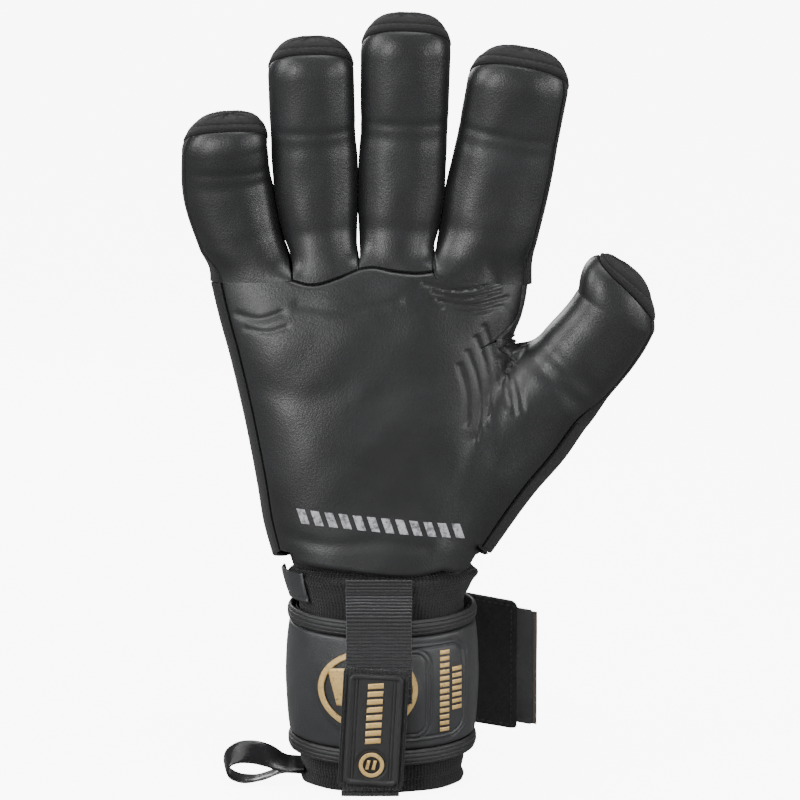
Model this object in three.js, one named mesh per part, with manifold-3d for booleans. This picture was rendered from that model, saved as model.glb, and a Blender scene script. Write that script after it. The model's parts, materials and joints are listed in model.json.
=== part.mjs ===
// A goalkeeper glove for the right hand, worn upright: fingers up (+Z), palm forward (-Y), thumb at +X.
// The origin is the middle of the wrist opening. Every length is in millimetres and every angle in degrees.
// The glove is a stack of sewn sheets: latex in front, a padded backhand behind, a knitted lining inside.
// Each stall is cut at its bending creases by V-shaped notches, so that its pieces turn without meeting.
import * as THREE from "three";
import { mergeVertices } from "three/addons/utils/BufferGeometryUtils.js";
import Module from "manifold-3d";

const wasm = await Module();
wasm.setup();

// ---------- driving sizes ----------

const clearance = 0.3; // air between two sewn pieces
const sheet = 4; // latex foam and backhand foam
const lining = 0.8; // knitted lining
const creaseGap = 1; // air at the pivot of a bending crease
const roundness = 2.35; // exponent of the hand's superellipse sections
const bendForward = { finger: 80, littleFinger: 74, thumbTip: 60, thumbFold: 45 };
const bendBack = 10;
const thumbFoldBack = 15;
const pivotForward = 1.5; // how far a crease's pivot lies in front of the stall's middle

// Cuff: an elastic bandage, which a padded strap goes round.
const bandage = {
  wall: 1.8,
  height: [1, 15, 60, 71.5, 76.5, 81.5],
  halfWidth: [29.6, 30.6, 30.8, 31, 33.6, 35.8],
  halfDepth: [21.6, 22.4, 22.8, 22.8, 21.6, 20.6],
};

// How far the palm's hem stands off the bandage's top: to the left, to the right and in depth.
const hem = { left: 1.7, right: -0.8, depth: 0.4 };

// Palm: its sides at a few heights, from the hem to the finger roots.
const palm = {
  height: [82, 95, 115, 140, 165, 183, 192],
  left: [-bandage.halfWidth[5] - hem.left, -41.5, -45, -50, -56, -61, -62.6],
  right: [bandage.halfWidth[5] + hem.right, 37.5, 41, 45, 48.5, 52, 53],
  halfDepth: [bandage.halfDepth[5] + hem.depth, 20.5, 20, 19.5, 17.5, 15, 13.4],
};

// Stalls: axis points [x, y, z] from inside the palm to the last full section, then a domed end.
const stalls = {
  little: {
    axis: [[-44.5, 0, 176], [-50.6, -0.5, 201], [-55.6, -3, 222], [-56.2, -6.5, 236]],
    halfWidth: [14.2, 14.6, 15.3, 14.8],
    halfDepth: [12, 11.6, 11.2, 11],
    dome: 12,
    domeLean: 2.5,
    knuckle: 200,
    middle: 224,
    forward: bendForward.littleFinger,
    latexEdge: [-5.5, 4.5],
  },
  ring: {
    axis: [[-19.6, 0, 176], [-21.9, -0.5, 202], [-24.3, -3, 232], [-25.2, -8, 262]],
    halfWidth: [11.8, 12.7, 14.9, 15.2],
    halfDepth: [12.4, 12.2, 11.8, 11.4],
    dome: 13,
    domeLean: 0.5,
    knuckle: 204,
    middle: 238,
    forward: bendForward.finger,
    latexEdge: [4.5, 4.5],
  },
  middle: {
    axis: [[4.6, 0, 176], [5.8, -0.5, 202], [7.8, -3, 234], [8.6, -8.5, 269.5]],
    halfWidth: [12.9, 13.8, 15.3, 15.9],
    halfDepth: [12.4, 12.2, 11.8, 11.4],
    dome: 14,
    domeLean: 0.5,
    knuckle: 205,
    middle: 241,
    forward: bendForward.finger,
    latexEdge: [4.5, 4.5],
  },
  index: {
    axis: [[34.4, 0, 176], [38.2, -0.5, 202], [43.8, -3, 231], [48.4, -8, 257]],
    halfWidth: [17, 17.3, 17.9, 18],
    halfDepth: [12.8, 12.4, 12, 11.6],
    dome: 14.5,
    domeLean: 0.5,
    knuckle: 203,
    middle: 237,
    forward: bendForward.finger,
    latexEdge: [4.5, -5.5],
  },
};

// Thumb: a wide stall that starts at the heel of the hand. Its axis points are [x, y, z] too.
const thumb = {
  axis: [[17, 0, 95], [39, 0, 120.5], [66, -1.5, 151.5], [82, -4, 171.5], [85, -5, 177]],
  halfWidth: [21, 20, 17.2, 16.2, 15.8],
  halfDepth: [15.5, 15, 13, 11.8, 11.6],
  dome: 16,
  domeLean: -3,
  latexEdge: [4.5, -5.5],
  tipPivot: [68.5, 154], // x, z of the crease near the thumb's tip
  tipDirection: [0.66, 0.751], // x, z of the thumb's own direction there
};
const thumbFold = { low: [32, 84], high: [45.5, 161] }; // x, z of the crease across the thumb's root
const web = { x: 49, z: 162.5, radius: 10.5 }; // the gusset between thumb and index
const tipCap = 7; // length of a fingertip's binding, from its very end

// The strap, its tail and what hangs on it.
const strap = {
  wall: 2.6,
  slack: 0.2, // extra air between the strap and the bandage, front and back
  liner: 0.6,
  bottom: 20.5,
  top: 62,
  crown: 1.4, // how far the padded middle stands out past the edges
  binding: 6.4, // height of the stitched binding above and below
  bindingWall: 1.8,
  bindingInset: 1.9, // how far the bindings sit inside the padded face
  tilt: 0.08, // the strap's front edge is lower than its back, as a slope
  openFrom: 120, // the strap's start and end, in degrees round from the front
  openTo: 152,
};
// The strap's outside: everything that lies between it and the bandage's straight part.
const strapRoom = 2 * clearance + strap.liner + strap.wall + strap.crown;
const strapHalfWidth = bandage.halfWidth[3] + strapRoom;
const strapHalfDepth = bandage.halfDepth[3] + strapRoom + strap.slack;
const tail = {
  rootX: 14.6,
  stand: 1.095, // how far its root stands off the strap's back
  turn: 10, // how far it leans back from straight across
  bottom: 18.5,
  height: 50,
  length: 36.8,
  slope: -0.215, // the tail droops towards its end
  core: 1.2,
  pile: 1,
  film: 1.3,
  filmLength: 6.9,
  filmLap: 4, // how far the film runs under the core
  filmTrim: 2.6, // how much less high the hook film is, at each edge
  edge: 1.1,
};
const webbing = { x: -1, width: 24, thick: 1.5, top: 80.6, bend: 76, bottom: 37, stand: [1.1, 1.3] }; // stand: off the bandage, at the top and the bend
const tab = {
  x: -4.2,
  lean: 3.2,
  bottom: 6.4,
  width: 24,
  height: 44,
  fabric: 1.2,
  rubber: 2,
  rubberWidth: 19.5,
  rubberHeight: 40.5,
  hook: 1.2,
  hookWidth: 18,
  hookHeight: 27,
  badgeRadius: 4.6,
  badge: 0.7,
};
const pullLoop = { stand: 2.6, reach: 26.2, neck: 11, gap: 8.6, thick: 1.5, width: 9.6, height: 6.8, tilt: 14, y: -4 };
const emblem = { x: -5, z: 41, halfWidth: 18, halfHeight: 15, band: 2.2, thick: 0.7 };
const patch = { from: -100, to: -52, bottom: 70.4, bend: 76, top: 81.4, thick: 1.2, aside: [2.2, 1.1, 0.3], ahead: [0.1, 0.6, 0.7] }; // aside and ahead: off the bandage, at its three heights
const pad = { low: 150, high: 181, left: -42, right: 33, thick: 2.6 };

const far = 400; // reach of the cutting shapes

// ---------- solids ----------

/** A closed mesh as a manifold solid. */
function toSolid(geometry) {
  const bare = geometry.index ? geometry.toNonIndexed() : geometry.clone();
  for (const name of Object.keys(bare.attributes)) if (name !== "position") bare.deleteAttribute(name);
  const merged = mergeVertices(bare, 1e-4);
  return new wasm.Manifold(
    new wasm.Mesh({
      numProp: 3,
      vertProperties: merged.attributes.position.array,
      triVerts: new Uint32Array(merged.index.array),
    }),
  );
}

/** A manifold solid as a geometry. */
function toGeometry(solid) {
  const mesh = solid.getMesh();
  const places = new Float32Array(mesh.numVert * 3);
  for (let i = 0; i < mesh.numVert; i++) {
    places.set(mesh.vertProperties.subarray(i * mesh.numProp, i * mesh.numProp + 3), i * 3);
  }
  const geometry = new THREE.BufferGeometry();
  geometry.setAttribute("position", new THREE.BufferAttribute(places, 3));
  geometry.setIndex(new THREE.BufferAttribute(new Uint32Array(mesh.triVerts), 1));
  geometry.computeVertexNormals();
  return geometry;
}

/** A closed body through rings of points: every ring has as many points, and each end closes on its middle. */
function loft(rings) {
  const around = rings[0].length;
  const points = rings.flat();
  const middle = (ring) => ring.reduce((sum, p) => sum.add(p), new THREE.Vector3()).divideScalar(ring.length);
  const start = points.push(middle(rings[0])) - 1;
  const end = points.push(middle(rings[rings.length - 1])) - 1;
  const faces = [];
  for (let i = 0; i < around; i++) {
    const next = (i + 1) % around;
    for (let row = 0; row < rings.length - 1; row++) {
      const here = row * around;
      const above = here + around;
      faces.push(here + i, here + next, above + next, here + i, above + next, above + i);
    }
    const last = (rings.length - 1) * around;
    faces.push(start, next, i, end, last + i, last + next);
  }
  const geometry = new THREE.BufferGeometry().setFromPoints(points);
  geometry.setIndex(faces);
  return toSolid(geometry);
}

/** A ring of points: a superellipse about a place, across one direction and deep along another. */
function ring(place, across, deep, halfWidth, halfDepth, count, exponent) {
  return Array.from({ length: count }, (_, i) => {
    const angle = (2 * Math.PI * i) / count;
    const bulge = (v) => Math.sign(v) * Math.abs(v) ** (2 / exponent);
    return place
      .clone()
      .addScaledVector(across, halfWidth * bulge(Math.cos(angle)))
      .addScaledVector(deep, halfDepth * bulge(Math.sin(angle)));
  });
}

/** A value read off a list of stations by straight lines, at a share of its length from 0 to 1. */
function along(values, share) {
  const place = Math.min(Math.max(share, 0), 1) * (values.length - 1);
  const i = Math.min(Math.floor(place), values.length - 2);
  return THREE.MathUtils.lerp(values[i], values[i + 1], place - i);
}

/** A stall: a tube along a bent axis with a domed end, its skin moved in by inset. */
function stallSolid(stall, inset, count) {
  const curve = new THREE.CatmullRomCurve3(stall.axis.map((p) => new THREE.Vector3(...p)));
  const back = new THREE.Vector3(0, 1, 0);
  const section = (share, push, size, lean) => {
    const tangent = curve.getTangent(share).normalize();
    const across = new THREE.Vector3().crossVectors(back, tangent).normalize();
    const deep = new THREE.Vector3().crossVectors(tangent, across);
    const place = curve.getPoint(share).addScaledVector(tangent, push).addScaledVector(across, lean);
    const halfWidth = Math.max(along(stall.halfWidth, share) - inset, 0.5) * size;
    const halfDepth = Math.max(along(stall.halfDepth, share) - inset, 0.5) * size;
    return ring(place, across, deep, halfWidth, halfDepth, count, roundness);
  };
  const stations = stall.axis.length - 1;
  const rings = [];
  const rootPush = inset > 0 ? inset - 2 * sheet : 0; // inner skins start a little before the outer one
  for (let i = 0; i <= stations; i++) rings.push(section(i / stations, i ? 0 : rootPush, 1, 0));
  for (const rise of [34, 68]) {
    const angle = THREE.MathUtils.degToRad(rise);
    const push = (stall.dome - inset) * Math.sin(angle);
    rings.push(section(1, push, Math.cos(angle), stall.domeLean * Math.sin(angle)));
  }
  return loft(rings);
}

/** The palm: level sections between its two sides, its skin moved in by inset. */
function palmSolid(inset, count, below = 0) {
  const right = new THREE.Vector3(1, 0, 0);
  const back = new THREE.Vector3(0, 1, 0);
  const last = palm.height.length - 1;
  return loft(
    palm.height.map((height, i) => {
      const z = i === last ? height - Math.max(inset, 0) : i === 0 ? height - below : height;
      const place = new THREE.Vector3((palm.left[i] + palm.right[i]) / 2, 0, z);
      const halfWidth = (palm.right[i] - palm.left[i]) / 2 - inset;
      return ring(place, right, back, halfWidth, palm.halfDepth[i] - inset, count, roundness + 0.35);
    }),
  );
}

/** A prism: an outline in the plane of two directions, drawn both ways along a third. */
function prism(outline, place, first, second, reach = far) {
  const shape = new THREE.Shape(outline.map(([a, b]) => new THREE.Vector2(a, b)));
  const geometry = new THREE.ExtrudeGeometry(shape, { depth: 2 * reach, bevelEnabled: false });
  geometry.translate(0, 0, -reach);
  const third = new THREE.Vector3().crossVectors(first, second);
  const turn = new THREE.Matrix4().makeBasis(first, second, third).setPosition(place);
  return toSolid(geometry.applyMatrix4(turn));
}

/** A box between two corners. */
function box(low, high) {
  const geometry = new THREE.BoxGeometry(high[0] - low[0], high[1] - low[1], high[2] - low[2]);
  geometry.translate((low[0] + high[0]) / 2, (low[1] + high[1]) / 2, (low[2] + high[2]) / 2);
  return toSolid(geometry);
}

/** All of space on one side of a plane through a place, as far as the cutting shapes reach. */
function halfSpace(place, normal) {
  const reference = Math.abs(normal.z) < 0.9 ? new THREE.Vector3(0, 0, 1) : new THREE.Vector3(1, 0, 0);
  const first = new THREE.Vector3().crossVectors(reference, normal).normalize();
  return prism([[-far, 0], [far, 0], [far, far], [-far, far]], place, first, normal.clone().normalize());
}

/** The two sides of a bending crease: an hourglass of air is left between them, with its neck on the pivot. */
function creaseSides(place, direction, forward, backward) {
  const back = new THREE.Vector3(0, 1, 0);
  const rise = (angle) => far * Math.tan(THREE.MathUtils.degToRad(angle / 2)) + creaseGap / 2;
  const side = (sign) =>
    prism(
      sign < 0
        ? [[0, -creaseGap / 2], [-far, -rise(forward)], [-far, -3 * far], [far, -3 * far], [far, -rise(backward)]]
        : [[0, creaseGap / 2], [far, rise(backward)], [far, 3 * far], [-far, 3 * far], [-far, rise(forward)]],
      place,
      back,
      direction,
    );
  return { below: side(-1), above: side(1) };
}

const v3 = (x, y, z) => new THREE.Vector3(x, y, z);
const up = v3(0, 0, 1);

// ---------- creases ----------

/** A point on a stall's axis at a height, where z rises along the axis. */
function axisAtHeight(stall, height) {
  const curve = new THREE.CatmullRomCurve3(stall.axis.map((p) => v3(...p)));
  let low = 0;
  let high = 1;
  for (let i = 0; i < 30; i++) {
    const half = (low + high) / 2;
    if (curve.getPoint(half).z < height) low = half;
    else high = half;
  }
  return curve.getPoint(low);
}

const creases = {};
for (const [name, stall] of Object.entries(stalls)) {
  for (const where of ["knuckle", "middle"]) {
    const place = axisAtHeight(stall, stall[where]);
    place.y -= pivotForward;
    creases[`${name}_${where}`] = creaseSides(place, up, stall.forward, bendBack);
  }
}
const tipWay = v3(thumb.tipDirection[0], 0, thumb.tipDirection[1]).normalize();
const thumbPivot = v3(thumb.tipPivot[0], -1.5 - pivotForward, thumb.tipPivot[1]);
creases.thumb_tip = creaseSides(thumbPivot, tipWay, bendForward.thumbTip, bendBack);
const foldLine = v3(thumbFold.high[0] - thumbFold.low[0], 0, thumbFold.high[1] - thumbFold.low[1]).normalize();
const foldAcross = v3(foldLine.z, 0, -foldLine.x);
const foldPivot = v3(thumbFold.low[0], -pivotForward, thumbFold.low[1]);
creases.thumb_fold = creaseSides(foldPivot, foldAcross, bendForward.thumbFold, thumbFoldBack);

// ---------- hand ----------

const group = new THREE.Group();

/** Adds one named piece, in its own material. */
function add(name, solid, look) {
  const mesh = new THREE.Mesh(toGeometry(solid), looks[look]);
  mesh.name = name;
  group.add(mesh);
}

const looks = {};
for (const [name, color, roughness, metalness] of [
  ["latex", 0x2b2b2d, 0.42, 0],
  ["backhand", 0x242426, 0.6, 0],
  ["binding", 0x1c1c1e, 0.9, 0],
  ["lining", 0x17171a, 0.95, 0],
  ["knit", 0x1a1a1c, 0.95, 0],
  ["ribbed", 0x1d1d20, 0.8, 0],
  ["padded", 0x28282a, 0.45, 0],
  ["pile", 0x141416, 1, 0],
  ["film", 0x1a1a1d, 0.3, 0],
  ["rubber", 0x1b1b1d, 0.6, 0],
  ["gold", 0xd9a441, 0.4, 0.3],
]) {
  looks[name] = new THREE.MeshStandardMaterial({ color, roughness, metalness });
}

const skinCount = 16; // sides of the stalls' and palm's sections
const bandCount = 32; // sides of the cuff's sections

/** The outside of the hand and thumb, and the whole hand's inside, moved in by inset. */
const handOutside = (inset, count) => palmSolid(inset, count).add(stallSolid(thumb, inset, count));
function handInside(inset, count) {
  let inside = palmSolid(inset, count, 2 * sheet).add(stallSolid(thumb, inset, count));
  for (const stall of Object.values(stalls)) inside = inside.add(stallSolid(stall, inset, count));
  return inside;
}

const inside = handInside(sheet, skinCount);
const wristPlane = halfSpace(v3(0, 0, palm.height[0]), up);
const crotch = v3(web.x, 0, web.z);
const webOutline = (radius) =>
  Array.from({ length: 20 }, (_, i) => {
    const angle = (2 * Math.PI * i) / 20;
    return [radius * Math.cos(angle), radius * Math.sin(angle)];
  });
const webColumn = (radius) => prism(webOutline(radius), crotch, v3(1, 0, 0), up, 2 * palm.halfDepth[0]);
const rightOfFold = creases.thumb_fold.above;
const leftOfFold = creases.thumb_fold.below;
const aboveCrotch = halfSpace(v3(0, 0, web.z), up);

// The hand keeps the palm left of the fold and above the crotch, with a short root of each finger.
const palmOuter = palmSolid(0, skinCount);
let handShell = palmOuter.intersect(aboveCrotch).add(handOutside(0, skinCount).intersect(leftOfFold));
for (const [name, stall] of Object.entries(stalls)) {
  handShell = handShell.add(stallSolid(stall, 0, skinCount).intersect(creases[`${name}_knuckle`].below));
}
handShell = handShell.subtract(inside).subtract(webColumn(web.radius)).intersect(wristPlane);

const frontEdge = -sheet; // where the latex stops on the hand's sides
const backEdge = 2.4; // where the backhand begins
const backward = v3(0, 1, 0);
const forward = v3(0, -1, 0);
const sideBand = (low, high) => box([-far, frontEdge + clearance, low], [far, backEdge - clearance, high]);
const gussetTop = 176;
const leftSide = box([-far, -far, palm.height[0]], [-30, far, gussetTop]);
const leftSideWider = box([-far, -far, palm.height[0] - 1], [-30 + clearance, far, gussetTop + clearance]);

add("palm_latex", handShell.intersect(halfSpace(v3(0, frontEdge, 0), forward)), "latex");
add("little_side_gusset", handShell.intersect(sideBand(0, far)).intersect(leftSide), "binding");
add(
  "backhand_panel",
  handShell
    .intersect(halfSpace(v3(0, frontEdge + clearance, 0), backward))
    .subtract(leftSideWider.intersect(box([-far, -far, 0], [far, backEdge, far]))),
  "backhand",
);

// Thumb: the pad at its root turns about the fold, and its end about the crease near the tip.
const thumbRoot = handOutside(0, skinCount)
  .intersect(rightOfFold)
  .subtract(palmOuter.intersect(halfSpace(v3(0, 0, web.z - 4), up)))
  .intersect(creases.thumb_tip.below)
  .subtract(inside)
  .subtract(webColumn(web.radius))
  .intersect(halfSpace(v3(0, 0, palm.height[0] + 6), up));
const rightSide = halfSpace(v3(...thumb.axis[2]), v3(tipWay.z, 0, -tipWay.x));
add("thumb_base_latex", thumbRoot.intersect(halfSpace(v3(0, frontEdge, 0), forward)), "latex");
add("thumb_side_gusset", thumbRoot.intersect(sideBand(0, far)).intersect(rightSide), "binding");
const thumbBackStart = halfSpace(v3(0, frontEdge + clearance, 0), backward);
const thumbGussetAir = rightSide.intersect(box([-far, -far, 0], [far, backEdge, far]));
add("thumb_base_back", thumbRoot.intersect(thumbBackStart).subtract(thumbGussetAir), "backhand");

// The web's gusset fills the crotch between thumb and index.
const webShell = handOutside(0, skinCount);
const webFill = prism(
  [[-5, -8], [8.5, -8], [13, 9.6], [0.5, 9.6]],
  v3(web.x, 0, web.z),
  v3(1, 0, 0),
  up,
  2.2,
);
add("web_gusset", webShell.add(webFill).subtract(inside).intersect(webColumn(web.radius - clearance)), "binding");

// Knuckle pad on the backhand.
const padLayer = palmSolid(-pad.thick - clearance, skinCount)
  .subtract(palmSolid(-clearance, skinCount))
  .intersect(box([pad.left, 4, pad.low], [pad.right, far, pad.high]));
add("knuckle_pad", padLayer, "padded");

// Lining of the hand: a thin sleeve inside latex and backhand, up to the finger roots.
const liningTop = palm.height[palm.height.length - 1] + 2;
const liningStart = halfSpace(v3(0, 0, palm.height[0] + 0.5), up);
const outerLining = handInside(sheet + clearance, skinCount);
const innerLining = handInside(sheet + clearance + lining, skinCount);
const foldLap = 9; // how far the thumb's lining reaches past its fold, into the palm
const sleeve = outerLining.subtract(innerLining).intersect(liningStart);
/** The thumb's share of the lining: all that lies past a line beside the fold, but not the palm above the web. */
const thumbShare = (grow) =>
  halfSpace(foldPivot.clone().addScaledVector(foldAcross, -foldLap - grow), foldAcross)
    .subtract(box([-far, -far, web.z - web.radius + grow], [web.x - 1 - grow, far, far]))
    .subtract(box([-far, -far, web.z + grow], [web.x + 3 - grow, far, far]))
    .subtract(box([-far, -far, liningTop - 2 + grow], [far, far, far]));
add(
  "hand_lining",
  sleeve.intersect(box([-far, -far, 0], [far, far, liningTop])).subtract(thumbShare(clearance)),
  "lining",
);
add("thumb_lining", sleeve.intersect(thumbShare(0)), "lining");

// ---------- stalls of fingers and thumb ----------

/** The half-spaces in front of and behind a stall's latex edge, which may slant across the stall. */
function latexSides(place, across, halfWidth, [leftY, rightY]) {
  const slope = (rightY - leftY) / (2 * halfWidth);
  const middle = place.clone();
  middle.y += (leftY + rightY) / 2;
  const normal = v3(0, 1, 0).addScaledVector(across, -slope).normalize();
  return {
    front: halfSpace(middle, normal.clone().negate()),
    back: halfSpace(middle.clone().addScaledVector(normal, clearance), normal),
  };
}

/** Splits one stretch of a stall's shell into its latex and its back. */
function addPair(name, shell, sides) {
  add(`${name}_latex`, shell.intersect(sides.front), "latex");
  add(`${name}_back`, shell.intersect(sides.back), "backhand");
}

for (const [name, stall] of Object.entries(stalls)) {
  const outer = stallSolid(stall, 0, skinCount);
  const shell = outer.subtract(stallSolid(stall, sheet, skinCount));
  const knuckle = creases[`${name}_knuckle`];
  const middle = creases[`${name}_middle`];
  const end = v3(...stall.axis[stall.axis.length - 1]);
  const before = v3(...stall.axis[stall.axis.length - 2]);
  const way = end.clone().sub(before).normalize();
  const capPlace = end.clone().addScaledVector(way, stall.dome - tipCap);
  const sides = latexSides(
    before,
    v3(way.z, 0, -way.x).normalize(),
    along(stall.halfWidth, 0.67),
    stall.latexEdge,
  );
  addPair(`${name}_base`, shell.intersect(knuckle.above).intersect(middle.below), sides);
  const belowCap = halfSpace(capPlace.clone().addScaledVector(way, -clearance), way.clone().negate());
  addPair(`${name}_tip`, shell.intersect(middle.above).intersect(belowCap), sides);
  add(`${name}_tip_binding`, shell.intersect(halfSpace(capPlace, way)), "binding");
  const stocking = stallSolid(stall, sheet + clearance, skinCount)
    .subtract(stallSolid(stall, sheet + clearance + lining, skinCount))
    .intersect(halfSpace(v3(0, 0, liningTop + clearance), up));
  add(`${name}_lining`, stocking, "lining");
}

const thumbShell = stallSolid(thumb, 0, skinCount).subtract(stallSolid(thumb, sheet, skinCount));
const thumbEnd = v3(...thumb.axis[thumb.axis.length - 1]);
const thumbBefore = v3(...thumb.axis[thumb.axis.length - 2]);
const thumbWay = thumbEnd.clone().sub(thumbBefore).normalize();
const thumbCap = thumbEnd.clone().addScaledVector(thumbWay, thumb.dome - tipCap);
const thumbSides = latexSides(
  thumbBefore,
  v3(tipWay.z, 0, -tipWay.x),
  thumb.halfWidth[3],
  thumb.latexEdge,
);
addPair(
  "thumb_tip",
  thumbShell
    .intersect(creases.thumb_tip.above)
    .subtract(webColumn(web.radius))
    .intersect(halfSpace(thumbCap.clone().addScaledVector(thumbWay, -clearance), thumbWay.clone().negate())),
  thumbSides,
);
add("thumb_tip_binding", thumbShell.intersect(halfSpace(thumbCap, thumbWay)), "binding");
// ---------- cuff ----------

/** A hollow band round the wrist: rows of [height, half-width, half-depth], tilted by a slope. */
function band(rows, wall, slope, count = bandCount) {
  const skin = (inset, stretch) =>
    loft(
      rows.map(([height, halfWidth, halfDepth], i) => {
        const end = i === 0 ? -stretch : i === rows.length - 1 ? stretch : 0;
        return ring(v3(0, 0, height + end), v3(1, 0, 0), v3(0, 1, 0), halfWidth - inset, halfDepth - inset, count, 2)
          .map((p) => p.setZ(p.z + slope * p.y));
      }),
    );
  return skin(0, 0).subtract(skin(wall, 1));
}

const bandageRows = bandage.height.map((height, i) => [height, bandage.halfWidth[i], bandage.halfDepth[i]]);
add("wrist_bandage", band(bandageRows, bandage.wall, 0), "knit");

/** The part of the cuff that lies between two directions, in degrees round from the front towards the thumb. */
function sector(from, to) {
  const outline = [[0, 0]];
  const steps = Math.ceil((to - from) / 20);
  for (let i = 0; i <= steps; i++) {
    const angle = THREE.MathUtils.degToRad(from + ((to - from) * i) / steps);
    outline.push([far * Math.sin(angle), -far * Math.cos(angle)]);
  }
  return prism(outline, v3(0, 0, 0), v3(1, 0, 0), v3(0, 1, 0));
}

const strapOpening = sector(strap.openFrom, strap.openTo);
const strapMiddle = (strap.bottom + strap.top) / 2;
const strapRow = (share, inset) => [
  THREE.MathUtils.lerp(strap.bottom, strap.top, share),
  strapHalfWidth - inset - strap.crown * (2 * share - 1) ** 2,
  strapHalfDepth - inset - strap.crown * (2 * share - 1) ** 2,
];
const strapRows = (inset) => [0, 0.06, 0.3, 0.7, 0.94, 1].map((share) => strapRow(share, inset));
const strapFace = band(strapRows(0), strap.wall, strap.tilt);
add("strap_shell", strapFace.subtract(strapOpening), "padded");
const linerRow = (height) => [
  height,
  strapHalfWidth - strap.crown - strap.wall - clearance,
  strapHalfDepth - strap.crown - strap.wall - clearance,
];
const strapLow = strap.bottom - strap.binding;
const strapHigh = strap.top + strap.binding;
add("strap_lining", band([linerRow(strapLow + 1), linerRow(strapHigh - 1)], strap.liner, strap.tilt).subtract(strapOpening), "pile");
const bindingRow = (height) => [
  height,
  strapHalfWidth - strap.bindingInset,
  strapHalfDepth - strap.bindingInset,
];
for (const [name, low, high] of [
  ["strap_bottom_binding", strapLow, strap.bottom - clearance],
  ["strap_top_binding", strap.top + clearance, strapHigh],
]) {
  add(name, band([bindingRow(low), bindingRow(high)], strap.bindingWall, strap.tilt).subtract(strapOpening), "binding");
}

// Emblem: a plain raised ring on the strap's face, partly behind the pull tab.
const circle = (radius, count) =>
  Array.from({ length: count }, (_, i) => {
    const angle = (2 * Math.PI * i) / count;
    return [radius * Math.cos(angle), radius * Math.sin(angle)];
  });
const oval = (halfWidth, halfHeight) => circle(1, 28).map(([x, z]) => [x * halfWidth, z * halfHeight]);
const emblemColumn = (inset) =>
  prism(oval(emblem.halfWidth - inset, emblem.halfHeight - inset), v3(emblem.x, 0, emblem.z), v3(1, 0, 0), up);
const emblemLayer = loft(skinRings(-clearance - emblem.thick)).subtract(loft(skinRings(-clearance)));
function skinRings(inset) {
  return [0, 0.06, 0.3, 0.7, 0.94, 1].map((share) => {
    const [height, halfWidth, halfDepth] = strapRow(share, inset);
    return ring(v3(0, 0, height), v3(1, 0, 0), v3(0, 1, 0), halfWidth, halfDepth, bandCount, 2).map((p) =>
      p.setZ(p.z + strap.tilt * p.y),
    );
  });
}
add(
  "strap_emblem",
  emblemLayer
    .intersect(emblemColumn(0).subtract(emblemColumn(emblem.band)))
    .intersect(halfSpace(v3(0, 0, 0), forward)),
  "gold",
);

// Corner patch below the palm's outer corner.
const patchRows = (inset) => [
  [patch.bottom, bandage.halfWidth[3] + patch.aside[0] - inset, bandage.halfDepth[3] + patch.ahead[0] - inset],
  [patch.bend, bandage.halfWidth[4] + patch.aside[1] - inset, bandage.halfDepth[4] + patch.ahead[1] - inset],
  [patch.top, bandage.halfWidth[5] + patch.aside[2] - inset, bandage.halfDepth[5] + patch.ahead[2] - inset],
];
add("corner_patch", band(patchRows(-patch.thick), patch.thick, 0).intersect(sector(patch.from, patch.to)), "padded");

// Webbing: an elastic strip that hangs from the palm's hem and runs down over the strap.
const strapFront = strapHalfDepth + clearance;
const webbingLine = [
  [-bandage.halfDepth[5] - webbing.stand[0], webbing.top],
  [-bandage.halfDepth[4] - webbing.stand[1], webbing.bend],
  [-strapFront - 0.2, strap.top + 4.2],
  [-strapFront - emblem.thick - clearance, 60],
  [-strapFront - emblem.thick - clearance, webbing.bottom],
];
const webbingBack = webbingLine.map(([y, z]) => [y - webbing.thick, z]).reverse();
add(
  "elastic_webbing",
  prism([...webbingLine, ...webbingBack].reverse(), v3(webbing.x, 0, 0), v3(0, 1, 0), up, webbing.width / 2),
  "ribbed",
);

// ---------- pull tab ----------

const tabWay = v3(Math.sin(THREE.MathUtils.degToRad(tab.lean)), 0, Math.cos(THREE.MathUtils.degToRad(tab.lean)));
const tabAcross = v3(tabWay.z, 0, -tabWay.x);

/** A plate of the pull tab: so wide, from one height to another, between two depths. */
function tabPlate(width, low, high, back, front) {
  const place = v3(tab.x, -(back + front) / 2, tab.bottom);
  const outline = [[-width / 2, low], [width / 2, low], [width / 2, high], [-width / 2, high]];
  return prism(outline, place, tabAcross, tabWay, (front - back) / 2);
}

const hookBack = strapFront + emblem.thick + 2 * clearance + webbing.thick;
const fabricBack = hookBack + tab.hook + clearance;
const rubberBack = fabricBack + tab.fabric + clearance;
const badgeBack = rubberBack + tab.rubber + clearance;
add("tab_fabric", tabPlate(tab.width, 0, tab.height, fabricBack, fabricBack + tab.fabric), "ribbed");
const rubberLow = (tab.height - tab.rubberHeight) / 2;
add(
  "tab_rubber_patch",
  tabPlate(tab.rubberWidth, rubberLow, rubberLow + tab.rubberHeight, rubberBack, rubberBack + tab.rubber),
  "rubber",
);
add(
  "tab_hook_patch",
  tabPlate(tab.hookWidth, tab.height - tab.hookHeight - 1, tab.height - 1, hookBack, hookBack + tab.hook),
  "film",
);
const badgePlace = v3(tab.x, -(badgeBack + tab.badge / 2), tab.bottom).addScaledVector(
  tabWay,
  rubberLow + 3 + tab.badgeRadius,
);
add("tab_emblem", prism(circle(tab.badgeRadius, 24), badgePlace, tabAcross, tabWay, tab.badge / 2), "gold");

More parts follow.
